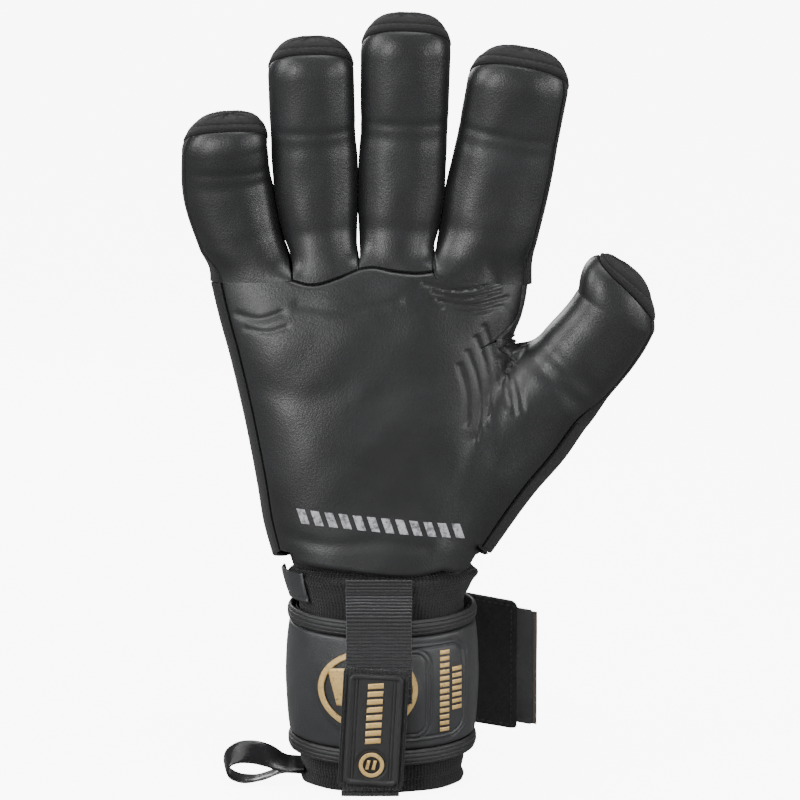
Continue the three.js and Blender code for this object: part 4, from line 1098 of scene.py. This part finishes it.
def makeStrap():
    count = 520
    angle = strapAngles(count)[:, None]
    share = np.concatenate([[0, 0.004, 0.015, 0.034], np.linspace(0.06, 0.94, 120),
                            1 - np.array([0.034, 0.015, 0.004, 0])])[None]
    height = strapLook["bottom"] + share * (strapLook["top"] - strapLook["bottom"])
    x = strapLook["width"] * np.sin(angle)
    front = np.cos(angle) > 0
    # two outlines right of the webbing, each a pair of pressed lines, and a low oval pad under the emblem
    outer, inner = (boxAway(x, height, *panel) for panel in strapPanels)
    lines = doubleLine(outer) * smoothStep((x - 8) / 3) + doubleLine(inner) * smoothStep((x - 4) / 3)
    pad = smoothStep((1 - np.hypot((x - emblemLook["x"]) / (emblemLook["across"] + 2),
                                   (height - emblemLook["z"])
                                   / (emblemLook["up"] + 2))) * 9)
    raised = 0.4 * boxShare(x, height, *strapPanels[0], 1.4) * smoothStep((x - 8) / 3) + 0.35 * pad
    behind = boxShare(np.degrees(angle), height, 190, 250, 26, 57, 5, 2.0)
    emboss = (raised - 0.5 * lines) * front + 0.45 * behind
    wave = 0.16 * unevenness(np.degrees(angle) * 0.9, height * 1.6)
    fall = strapFaceDepth(share)
    push = emboss + wave - 0.55 - fall
    grid = ringPoint(angle, height + 0 * angle, strapLook["width"] + push, strapLook["depth"] + push,
                     strapLook["tilt"])
    outward = fromWrist(grid)
    piece = sheetPiece("strapShell", grid, strapLook["wall"] - 0.4, cuffCoat, outward,
                       allEdges, radius=0.9)
    attach(piece, "hand", "padded_cuff", ["strap_shell"])
    for name, node, low, high in (("strapTopBinding", "strap_top_binding", strapLook["top"] + 0.2,
                                   strapLook["top"] + strapLook["binding"]),
                                  ("strapBottomBinding", "strap_bottom_binding",
                                   strapLook["bottom"] - strapLook["binding"],
                                   strapLook["bottom"] - 0.2)):
        share = np.linspace(0, 1, 46)[None]
        # a rounded coated tape: a flat half-oval with three pressed lines along it
        profile = 1.15 * (1 - np.abs(2 * share - 1) ** 3)
        for line in (0.24, 0.5, 0.76):
            profile = profile - 0.34 * np.exp(-((share - line) / 0.035) ** 2)
        push = profile - strapLook["inset"] - 0.55 + 0.12 * unevenness(np.degrees(angle) * 2, share * 8)
        height = low + share * (high - low)
        grid = ringPoint(angle, height + 0 * angle, strapLook["width"] + push, strapLook["depth"] + push,
                         strapLook["tilt"])
        outward = fromWrist(grid)
        place = np.stack([height + 0 * angle, np.degrees(angle) * 0.55 + 0 * share, 0 * (angle + share)], -1)
        piece = sheetPiece(name, grid, 1.3, bindingCoat, outward, allEdges, radius=0.6, place=place)
        attach(piece, "hand", "binding", [node])
        clothSheet(grid)
        for row in (11, 34):
            path = grid[6:-6, row]
            normals = gridNormals(grid, outward)[6:-6, row]
            sew("hand", name + "Stitch" + str(row), path, normals, "strap")
    lining = np.linspace(0, 1, 30)[None]
    height = strapLook["bottom"] - 5.4 + lining * (strapLook["top"] - strapLook["bottom"] + 10.8)
    inset = strapLook["crown"] + strapLook["wall"] + 0.3
    grid = ringPoint(angle, height + 0 * angle, strapLook["width"] - inset, strapLook["depth"] - inset,
                     strapLook["tilt"])
    outward = fromWrist(grid)
    piece = sheetPiece("strapLining", grid, 0.6, pileCloth, outward, longEdges, radius=0.25)
    attach(piece, "hand", "loop_pile", ["strap_lining"])
    clothSheet(grid)


makeBandage()
makeStrap()


def frontPlate(name, outline, thick, material, slot, body, lift=0.0, nodes=()):
    # a flat raised mark that hugs the strap's face: rows of points (x, z) run along it and across it
    points, normal = strapPoint(outline[..., 0], outline[..., 1], np.full(outline.shape[:2], lift + thick))
    piece = sheetPiece(name, points, thick, material, normal, allEdges, radius=thick * 0.45)
    return attach(piece, body, slot, nodes)


def makeEmblem():
    # a plain oval ring with a plain wedge inside it
    look = emblemLook
    angle = np.linspace(0, 2 * math.pi, 140, endpoint=False)[:, None]
    inset = look["band"] * np.linspace(0, 1, 9)[None]
    ringX = look["x"] + (look["across"] - inset) * np.cos(angle)
    ringZ = look["z"] + (look["up"] - inset) * np.sin(angle)
    place, normal = strapPoint(ringX, ringZ, 0.75 + 0 * ringX)
    piece = sheetPiece("strapRing", place, look["thick"], gold, normal, longEdges, wrap=True, radius=0.3)
    attach(piece, "hand", "gold_mark", ["strap_emblem"])
    u, v = np.linspace(0, 1, 24)[:, None], np.linspace(0, 1, 30)[None]
    wedgeX = look["x"] - 14.6 + u * 9 + (1 - v) * 3.4 * (1 - u)
    wedgeZ = look["z"] - 6 + v * (13.4 + 0.8 * u)
    frontPlate("strapWedge", np.stack([wedgeX, wedgeZ], -1), look["thick"], gold, "gold_mark", "hand", 0.0)


def dashes(low, high, pitch):  # the middles of as many dashes as fit between two heights
    count = int((high - low) / pitch)
    return (low + high) / 2 + (np.arange(count) - (count - 1) / 2) * pitch


def makeStrapDashes():
    # two columns of plain dashes: left, right, foot and top of each
    columns = [(21.0, 24.4, 23, 56), (25.5, 28.9, 31.5, 48.5)]
    u, v = np.linspace(0, 1, 10)[:, None], np.linspace(0, 1, 8)[None]
    for number, (left, right, low, high) in enumerate(columns):
        for place, middle in enumerate(dashes(low, high, 2.4)):
            barX, barZ = left + u * (right - left) + 0 * v, middle + (v - 0.5) * 1.5 + 0 * u
            frontPlate("strapDash" + str(number) + "x" + str(place), np.stack([barX, barZ], -1), 0.45, gold,
                       "gold_mark", "hand", 0.0)


makeEmblem()
makeStrapDashes()
print("stage: cuff made")


def makeWebbing():
    # an elastic strip: ribs across it all the way down, and a folded hem with two sewn lines at its top
    look = {"x": -1, "width": 24, "thick": 1.5, "rib": 1.25,
            "line": [[-21.7, 80.6], [-22.9, 76], [-28.7, 66.2], [-29.5, 60], [-29.5, 37]]}
    flat = lineThrough(look["line"], np.linspace(0, 1, 330))
    length = np.r_[0, np.cumsum(np.linalg.norm(np.diff(flat, axis=0), axis=1))]
    ahead = np.gradient(flat, axis=0)
    ahead /= np.linalg.norm(ahead, axis=1, keepdims=True)
    out = np.stack([ahead[:, 1], -ahead[:, 0]], 1)
    out *= np.sign(-out[:, :1])
    side = edgedShares(22, look["width"], 0.8)[:, None] * look["width"] - look["width"] / 2
    fold = smoothStep((5.6 - length) / 0.8)
    rib = 0.26 * np.abs(np.sin(math.pi * length / look["rib"])) * (1 - 0.5 * fold)
    line = -0.35 * np.exp(-((length - 5.9) / 0.3) ** 2) + 0.45 * fold
    sag = 0.25 * unevenness(side * 3, length * 2)
    push = look["thick"] + rib + line - 0.35 + sag
    narrow = 1 - 0.02 * np.exp(-((length - 20) / 10) ** 2)
    grid = np.stack([look["x"] + side * narrow, flat[:, 0] + out[:, 0] * push,
                     flat[:, 1] + out[:, 1] * push], -1)
    place = np.stack([side + 0 * length, length + 0 * side, 0 * (side + length)], -1)
    normal = np.stack([0 * out[:, 0], out[:, 0], out[:, 1]], -1)[None]
    piece = sheetPiece("elasticWebbing", grid, look["thick"] - 0.3, webCloth, normal,
                       allEdges, radius=0.5, place=place)
    attach(piece, "hand", "webbing", ["elastic_webbing"])
    for number, at in enumerate((1.6, 4.2)):
        row = int(np.argmin(np.abs(length - at)))
        sew("hand", "webbingStitch" + str(number), grid[2:-2, row], normal[0, row], "webbing")


tabLook = {"x": -4.2, "lean": math.radians(3.2), "bottom": 6.4, "width": 24, "height": 44, "bow": 0.004}
# each layer's width, foot, top, back and front
tabLayers = {"fabric": (24, 0, 44, 32.8, 34.0), "hook": (18, 16, 43, 31.3, 32.5)}
tabAcross = np.array([math.cos(tabLook["lean"]), 0, -math.sin(tabLook["lean"])])
tabWay = np.array([math.sin(tabLook["lean"]), 0, math.cos(tabLook["lean"])])


# a place on the pull tab: a across, b up from its foot, depth in front of the middle plane
def tabPoint(a, b, depth):
    base = np.array([tabLook["x"], 0, tabLook["bottom"]])
    place = base + a[..., None] * tabAcross + b[..., None] * tabWay
    place[..., 1] -= np.broadcast_to(depth - tabLook["bow"] * a ** 2 * (1 - 0.5 * b / tabLook["height"]),
                                     a.shape)
    return place


def tabPlate(name, width, low, high, back, front, material, slot, node, relief=None, soft=0.5,
             cells=(60, 120), corner=1.5):
    u, v = edgedShares(cells[0], width, 0.6), edgedShares(cells[1], high - low, 0.6)
    a, b = np.meshgrid((u - 0.5) * width, low + v * (high - low), indexing="ij")
    # rounded corners: a row near an end is drawn in by what a quarter circle leaves
    away = np.clip(1 - np.minimum(b - low, high - b) / corner, 0, 1)
    a = a * (1 - (corner * (1 - np.sqrt(1 - away ** 2 + 1e-9))) / (width / 2))
    push = relief(a, b) if relief else 0
    grid = tabPoint(a, b, front + push)
    piece = sheetPiece(name, grid, front - back, material, (0, -1, 0), allEdges, radius=soft,
                       place=np.stack([b, a, a * 0], -1))
    return attach(piece, "pull_tab", slot, [node])


def makeTab():
    half, tall = tabLook["width"] / 2, tabLook["height"]

    def weave(a, b):  # a raised selvedge, ribs lengthwise, and a shallow sewn channel inside the edge
        edge = np.minimum(half - np.abs(a), np.minimum(b, tall - b))
        return (0.12 * np.abs(np.sin(math.pi * a / 1.1)) - 0.2 * np.exp(-((edge - 1.55) / 0.35) ** 2)
                + 0.1 * unevenness(a * 4, b * 3))

    piece = tabPlate("tabFabric", *tabLayers["fabric"], webCloth, "webbing", "tab_fabric", weave, 0.5,
                     (84, 110))
    low, high = 1.75, 42.25

    # a smooth face: pressed lines near both long edges, a raised rim, a round hollow for the badge
    def face(a, b):
        rim = boxAway(a, b, -9.75, 9.75, low, high, 2.2)
        lines = (sum(np.exp(-((np.abs(a) - at) / 0.22) ** 2) for at in (6.3, 7.4))
                 * boxShare(a, b, -9, 9, low + 1.5, high - 1.5, 1, 1))
        hollow = smoothStep((6.0 - np.hypot(a, b - 9.35)) / 0.5)
        return -0.3 * smoothStep((-rim - 1.1) / 0.5) - 0.32 * lines - 0.2 * hollow

    tabPlate("tabRubberPatch", 19.5, low, high, 34.25, 36.3, tabRubber, "tab_rubber", "tab_rubber_patch",
             face, 0.6, (150, 160), 2.2)
    tabPlate("tabHookPatch", *tabLayers["hook"], filmPlastic, "hook_film", "tab_hook_patch",
             lambda a, b: 0.18 * np.sin(a * 4.2) * np.sin(b * 4.2), 0.4, (60, 90))
    angle = np.linspace(0, 2 * math.pi, 72, endpoint=False)[:, None]
    radius = 4.6 - 1.5 * np.linspace(0, 1, 7)[None]
    ring = tabPoint(radius * np.cos(angle), 9.35 + radius * np.sin(angle), 37.1)
    attach(sheetPiece("tabBadgeRing", ring, 0.7, gold, (0, -1, 0), longEdges, wrap=True, radius=0.3),
           "pull_tab", "gold_mark", ["tab_emblem"])
    for number, (a0, a1) in enumerate(((-1.9, -0.7), (0.4, 1.6))):
        a, b = np.meshgrid(np.linspace(a0, a1, 7), 9.35 + np.linspace(-1.7, 1.7, 12), indexing="ij")
        bar = sheetPiece("tabBadgeBar" + str(number), tabPoint(a + (b - 9.35) * 0.18, b, 36.95), 0.6, gold,
                         (0, -1, 0), allEdges, radius=0.25)
        attach(bar, "pull_tab", "gold_mark")
    for number, middle in enumerate(dashes(16, 40.6, 2.9)):
        a, b = np.meshgrid(np.linspace(-2.8, 2.8, 10), middle + np.linspace(-0.95, 0.95, 8), indexing="ij")
        dash = sheetPiece("tabDash" + str(number), tabPoint(a, b + 0.12 * a, 36.55), 0.6, gold, (0, -1, 0),
                          allEdges, radius=0.25)
        attach(dash, "pull_tab", "gold_mark")
    border = 10.9
    corners = [(-border, 1.1), (border, 1.1), (border, 42.9), (-border, 42.9)]
    for number in range(4):
        start, end = np.array(corners[number]), np.array(corners[(number + 1) % 4])
        line = start + np.linspace(0, 1, 40)[:, None] * (end - start)
        path = tabPoint(line[:, 0], line[:, 1], 33.95)
        sew("pull_tab", "tabStitch" + str(number), path, np.array([0, -1.0, 0]), "tab")
    # the tab's own tape: under its foot and back up the bandage
    line = lineThrough([[-22.6, 10.4], [-22.6, 5.4], [-25.1, 2.9], [-31.2, 2.9], [-32.6, 4.4]],
                       np.linspace(0, 1, 60))
    ahead = np.gradient(line, axis=0)
    ahead /= np.linalg.norm(ahead, axis=1, keepdims=True)
    out = np.stack([-ahead[:, 1], ahead[:, 0]], 1)
    out *= -np.sign(out[-1, 0]) if abs(out[-1, 0]) > 0.1 else 1
    side = edgedShares(18, 21, 0.8)[:, None] * 21 - 10.5
    rib = 0.12 * np.abs(np.sin(math.pi * side / 1.1)) + 0 * line[:, 0]
    grid = np.stack([tabLook["x"] + side + 0 * line[:, 0], line[:, 0] + out[:, 0] * rib,
                     line[:, 1] + out[:, 1] * rib], -1)
    normal = np.stack([0 * out[:, 0], out[:, 0], out[:, 1]], -1)[None]
    piece = sheetPiece("tabAnchor", grid, 1.1, webCloth, normal, allEdges, radius=0.4,
                       place=np.stack([np.linspace(0, 16, 60)[None] + 0 * side, side + 0 * line[:, 0],
                                       0 * grid[..., 0]], -1))
    attach(piece, "hand", "webbing", ["tab_anchor"])
    clothSheet(grid)


makeWebbing()
makeTab()

tailLook = {"root": (14.6, 26.9), "turn": math.radians(10), "bottom": 18.5, "height": 50, "length": 36.8,
            "slope": -0.215,
            "film": (32.8, 43.7), "trim": 2.6}
tailWay = np.array([math.cos(tailLook["turn"]), math.sin(tailLook["turn"]), 0])
tailBack = np.array([-math.sin(tailLook["turn"]), math.cos(tailLook["turn"]), 0])


def tailPoint(along, up, depth):  # a place on the strap's tail: along it, up it, and behind its front face
    place = (np.array([*tailLook["root"], 0]) + along[..., None] * tailWay
             + np.asarray(depth)[..., None] * tailBack)
    place[..., 2] = tailLook["bottom"] + up * tailLook["height"] + tailLook["slope"] * along
    return place


def tailSheet(name, start, end, trim, depth, thick, material, slot, node, relief=None, cells=(60, 90),
              soft=0.4, corner=0.0):
    u, v = edgedShares(cells[0], end - start, soft), edgedShares(cells[1], tailLook["height"], soft)
    along, up = np.meshgrid(start + u * (end - start), v, indexing="ij")
    edge = trim / tailLook["height"]
    near = np.clip(1 - (end - along) / corner, 0, 1) if corner else 0 * along
    draw = edge + (corner / tailLook["height"]) * (1 - np.sqrt(1 - near ** 2 + 1e-9)) * 0.7
    up = draw + up * (1 - 2 * draw)
    bow = 0.55 * np.sin(along * 0.1 + 0.4) * np.sin(math.pi * up) + 0.25 * np.sin(up * 9 + along * 0.07)
    push = relief(along, up * tailLook["height"]) if relief else 0
    grid = tailPoint(along, up, depth - push + bow)
    piece = sheetPiece(name, grid, thick, material, -tailBack, allEdges, radius=soft,
                       place=np.stack([along, up * tailLook["height"], 0 * up], -1))
    attach(piece, "strap_tail", slot, [node])
    clothSheet(grid)
    return grid


def makeTail():
    pile = tailSheet("tailPile", 1.0, tailLook["length"], 0.4, -1.3, 1.0, pileCloth, "loop_pile", "tail_pile",
                     lambda a, b: 0.16 * unevenness(a * 6, b * 5), (70, 100), 0.45, 2.0)
    tailSheet("tailCore", 0.2, tailLook["length"], 0.0, 0.0, 1.2, webCloth, "webbing", "tail_core", None,
              (40, 80), 0.5, 2.4)
    tailSheet("tailHookFilm", tailLook["film"][0], tailLook["film"][1], tailLook["trim"], 1.5, 1.2,
              filmPlastic, "hook_film",
                     "tail_hook_film", lambda a, b: 0.1 * np.sin(a * 5.2) * np.sin(b * 5.2), (40, 150), 0.3,
                     1.6)
    tailSheet("tailEdgeTape", 43.55, 45.1, tailLook["trim"] + 0.4, 1.3, 1.7, edgeTape, "binding",
              "tail_edge_tape",
                     None, (8, 90), 0.4)
    for row in (6, -7):
        sew("strap_tail", "tailStitch" + str(abs(row)), pile[3:-3, row], -tailBack, "edge")
    sew("strap_tail", "tailEndStitch", pile[-9, 6:-6], -tailBack, "edge")


edgeTape = makeTextile("cutEdge", (0.05, 0.035, 0.025, 1), (0.11, 0.08, 0.055, 1), 0.0007, 0.0007, 0.85,
                       0.0003)
makeTail()


def makePullLoop():
    # a coated band: a stitched root that opens into a loop; its section is a flat rounded bar carried
    # along the loop
    root = pivot("pull_loop_swing")
    line = np.array([[3.4, -0.9], [-5, -1.4], [-10, -4.0], [-16, -5.6], [-21, -5.2], [-24.6, -2.9],
                     [-25.6, 0], [-24.6, 2.9],
                     [-21, 5.2], [-16, 5.6], [-10, 4.0], [-5, 1.4], [3.4, 0.9]])
    path = lineThrough(line, np.linspace(0, 1, 150))
    ahead = np.gradient(path, axis=0)
    ahead /= np.linalg.norm(ahead, axis=1, keepdims=True)
    out = np.stack([-ahead[:, 1], ahead[:, 0]], 1)
    tilt = math.radians(14)
    up = np.array([0, -math.sin(tilt), math.cos(tilt)])
    wide = np.array([0, math.cos(tilt), math.sin(tilt)])
    centre = root + path[:, :1] * [1, 0, 0] + path[:, 1:] * up
    normal = out[:, :1] * np.array([1, 0, 0]) + out[:, 1:] * up
    share = np.linspace(0, 1, 150)
    # the upper run turns its broad side to the front; the lower run stays thin
    twist = (math.radians(52) * np.exp(-((share - 0.72) / 0.17) ** 2)
             + math.radians(14) * np.exp(-((share - 0.25) / 0.16) ** 2))
    across = wide * np.cos(twist)[:, None] + normal * np.sin(twist)[:, None]
    thin = np.cross(across, np.gradient(centre, axis=0))
    thin /= np.linalg.norm(thin, axis=1, keepdims=True)
    angle = np.linspace(0, 2 * math.pi, 32, endpoint=False)[:, None]
    half = 4.4 + 0.35 * np.sin(share * 21) * np.exp(-np.minimum(share, 1 - share) / 0.12)
    bend = lambda v, p: np.sign(v) * np.abs(v) ** p
    wrinkle = (0.14 * np.sin(share * 95) * np.exp(-np.minimum(share, 1 - share) / 0.07)
               + 0.06 * np.sin(share * 60))
    a = bend(np.cos(angle), 0.55) * half
    b = bend(np.sin(angle), 0.75) * (0.7 + wrinkle)
    grid = centre[None] + across[None] * a[..., None] + thin[None] * b[..., None]
    count, columns = grid.shape[:2]
    points = grid.reshape(-1, 3)
    faces = quads(count, columns, wrap=True).tolist()
    for end in (0, columns - 1):
        faces.append([i * columns + end for i in range(count)])
    place = np.stack([share[None] * 62 + 0 * angle, np.degrees(angle) * 0.06 + 0 * share[None],
                      0 * grid[..., 0]], -1)
    piece = meshPiece("pullLoop", points, faces, glossCoat, place.reshape(-1, 3))
    fixNormals(piece)
    attach(piece, "pull_loop", "padded_cuff", ["pull_loop"])


makePullLoop()
print("stage: tab, tail and loop made")


def makePatches():
    # the corner patch, wrapped round the bandage below the palm's outer corner
    angle = np.radians(np.linspace(-100, -52, 44))[:, None]
    z = np.linspace(70.4, 81.4, 24)[None]
    width = np.interp(z, [70.4, 76, 81.4], [34.4, 35.9, 37.3])
    depth = np.interp(z, [70.4, 76, 81.4], [24.1, 23.4, 22.5])
    share = (z - 70.4) / 11
    push = (0.25 * np.sin(math.pi * share) - 0.3 * np.exp(-((share - 0.15) / 0.05) ** 2)
            + 0.1 * unevenness(angle * 60, z * 3))
    grid = ringPoint(angle, z + 0 * angle, width + push - 0.2, depth + push - 0.2)
    outward = fromWrist(grid)
    piece = sheetPiece("cornerPatch", grid, 1.2, cuffCoat, outward, allEdges, radius=0.5)
    attach(piece, "hand", "padded_cuff", ["corner_patch"])
    sew("hand", "cornerStitch", grid[2:-2, 4], outward[2:-2, 4], "edge")
    # the knuckle pad: four raised bars on a backing, over the back of the hand
    x, z = np.meshgrid(np.linspace(-42, 33, 130), np.linspace(150, 181, 60), indexing="ij")
    bars = 0
    for middle, tilt in ((-38, -0.22), (-17, -0.08), (4.5, 0.04), (24, 0.2)):
        bars = np.maximum(bars, boxShare(
            x - (z - 165) * tilt, z, middle - 7.6 if middle > -38 else middle - 4, middle + 7.6,
            153, 178.5, 5, 3.0))
    height = backDepth(x, z) + 0.7 + 2.0 * bars
    grid = np.stack([x, height, z], -1)
    piece = sheetPiece("knucklePad", grid, 2.2, cuffCoat, (0, 1, 0), allEdges, radius=0.8)
    attach(piece, "hand", "padded_cuff", ["knuckle_pad"])


makePatches()


liningLook = {"palm": 0.8, "palmInset": 4.9, "finger": 0.7, "fingerInset": 4.6, "thumbInset": 4.8,
              "radius": 0.3}


def makeLinings():
    # the knitted lining: a sleeve inside the palm, and a thin tube inside each finger and the thumb
    angle = np.linspace(0, 2 * math.pi, 96, endpoint=False)[:, None]
    z = np.linspace(82.6, 186, 50)[None]
    left, right, depth = (spline(palm["height"], palm[key], z) for key in ("left", "right", "depth"))
    bend = lambda v: np.sign(v) * np.abs(v) ** (2 / palm["power"])
    inset = liningLook["palmInset"]
    grid = np.stack([(left + right) / 2 + ((right - left) / 2 - inset) * bend(np.cos(angle)),
                     -(depth - inset) * bend(np.sin(angle)),
                     z + 0 * angle], -1)
    middle = np.stack([(left + right) / 2 + 0 * angle, 0 * (angle + z), z + 0 * angle], -1)
    piece = sheetPiece("handLining", grid, liningLook["palm"], knitCloth, grid - middle, wrap=True,
                       radius=liningLook["radius"])
    attach(piece, "hand", "lining", ["hand_lining"])
    clothSheet(np.concatenate([grid, grid[:1]]))
    for name, look in fingers.items():
        knuckle, middle = pivot(name + "_knuckle_bend"), pivot(name + "_middle_bend")
        base, tip = name + "_base", name + "_tip"
        cut = axisShare(look, (knuckle[2] + middle[2]) / 2)
        reach, half = np.array([0, 0, 16]), np.array([0, 0, (middle[2] - knuckle[2]) / 2 - 0.5])
        for label, start, end, nodes, how in (
                ("Lining", axisShare(look, 194.5), cut, [name + "_lining"],
                 dict(body="hand", bend=(base, knuckle - reach * 0.4, knuckle + half))),
                ("TipLining", cut, 1.0, [], dict(body=base, bend=(tip, middle - half, middle + reach)))):
            angles = np.linspace(0, 2 * math.pi, 48, endpoint=False)
            grid, centre = tubeSection(look, np.linspace(start, end, 26), angles, -liningLook["fingerInset"])
            piece = sheetPiece(name + label, grid.transpose(1, 0, 2), liningLook["finger"], knitCloth,
                               (grid - centre).transpose(1, 0, 2),
                               wrap=True, radius=liningLook["radius"])
            attach(piece, slot="lining", nodes=nodes, **how)
            clothSheet(grid)
    t = np.linspace(0.33, 0.68, 40)
    grid, centre = tubeSection({k: thumb[k] for k in ("axis", "width", "depth", "dome", "lean")}, t,
                               np.linspace(0, 2 * math.pi, 48, endpoint=False), -liningLook["thumbInset"])
    piece = sheetPiece("thumbLining", grid.transpose(1, 0, 2), liningLook["finger"], knitCloth,
                       (grid - centre).transpose(1, 0, 2), wrap=True, radius=liningLook["radius"])
    attach(piece, "hand", "lining", ["thumb_lining"], bend=thumbBend)
    clothSheet(grid)


makeLinings()
print("stage: linings made")


floorLook = {"size": 9000, "drop": 0.4, "colour": (0.93, 0.93, 0.93, 1), "dim": (0.2, 0.2, 0.2, 1),
             "glow": 8.0}


# pale to the camera; dimmer to the object, so that black foam doesn't mirror a bright floor
def makeFloorMaterial():
    made, t, out = newMaterial("paleFloor")
    seen = t.node("ShaderNodeLightPath").outputs["Is Camera Ray"]
    cloud = t.noise(t.objectPlace(), 3.0, 3.0)
    pale = t.blend(cloud, floorLook["colour"], tuple(c * 0.985 for c in floorLook["colour"][:3]) + (1,))
    t.put(out["Base Color"], t.blend(seen, floorLook["dim"], pale))
    t.put(out["Emission Color"], t.blend(seen, (0, 0, 0, 1), (1, 1, 1, 1)))
    out["Emission Strength"].default_value = floorLook["glow"]
    out["Roughness"].default_value = 0.9
    return made


floorGrid = np.stack(np.meshgrid(np.linspace(-1, 1, 9) * floorLook["size"],
                                 np.linspace(-1, 1, 9) * floorLook["size"], indexing="ij") +
                     [np.full((9, 9), -floorLook["drop"])], -1)
floor = meshPiece("floor", floorGrid.reshape(-1, 3), quads(9, 9), makeFloorMaterial())

# The studio: a pale backdrop that lights the object only a little, one wide soft sun and four soft panels.
studioLook = {"backdrop": 9.0, "ambient": 0.12, "sun": 1.6, "sunSpread": 55}
world = bpy.data.worlds.new("studio")
world.use_nodes = True
t = NodeTree(world.node_tree)
seen = t.node("ShaderNodeLightPath").outputs["Is Camera Ray"]
t.put(world.node_tree.nodes["Background"].inputs["Strength"],
      t.span(seen, 0.0, 1.0, studioLook["ambient"], studioLook["backdrop"]))
world.node_tree.nodes["Background"].inputs["Color"].default_value = (1, 1, 1, 1)
scene.world = world
sun = bpy.data.lights.new("softSun", "SUN")
sun.energy = studioLook["sun"]
sun.angle = math.radians(studioLook["sunSpread"])
sunObject = bpy.data.objects.new("softSun", sun)
scene.collection.objects.link(sunObject)
sunObject.rotation_euler = Vector((0.25, 0.3, -1)).to_track_quat("-Z", "Y").to_euler()

lightLook = [("keyLight", (-0.9, -0.45, 0.6), 0.45, 7.0), ("topLight", (0.25, -0.5, 1.2), 0.5, 6.0),
             ("rightFill", (0.95, -0.4, 0.35), 0.4, 5.0), ("frontStrip", (-0.62, -1.15, 0.32), 0.3, 8.5),
             ("rightStrip", (0.75, -1.0, 0.25), 0.14, 3.0), ("backLight", (-0.5, 0.95, 0.7), 0.6, 8.0)]
for lightName, lightPlace, lightSize, lightPower in lightLook:
    lamp = bpy.data.lights.new(lightName, "AREA")
    lamp.size = lightSize
    lamp.energy = lightPower
    lampObject = bpy.data.objects.new(lightName, lamp)
    scene.collection.objects.link(lampObject)
    lampObject.location = lightPlace
    aim = np.array([0.0, 0.0, 0.14]) - np.array(lightPlace)
    lampObject.rotation_euler = Vector(aim).to_track_quat("-Z", "Y").to_euler()

cameraLook = {"target": np.array([6.6, 0, 141.3]), "elevation": math.radians(9), "distance": 1200,
              "scale": 0.365, "sensor": 36}
lens = cameraLook["sensor"] * cameraLook["distance"] / (cameraLook["scale"] * 800)
cameraData = bpy.data.cameras.new("camera")
cameraData.lens = lens
cameraData.sensor_width = cameraLook["sensor"]
cameraData.clip_start = 0.05
camera = bpy.data.objects.new("camera", cameraData)
scene.collection.objects.link(camera)
e = cameraLook["elevation"]
view = np.array([0, -math.cos(e), math.sin(e)])
middle = cameraLook["target"] * [1, 1, 0] + [0, 0, cameraLook["target"][2] / math.cos(e)]
camera.location = (middle + view * cameraLook["distance"]) * mm
camera.rotation_euler = Vector(-view).to_track_quat("-Z", "Y").to_euler()
scene.camera = camera
print("stage: camera set, lens", round(lens, 1))
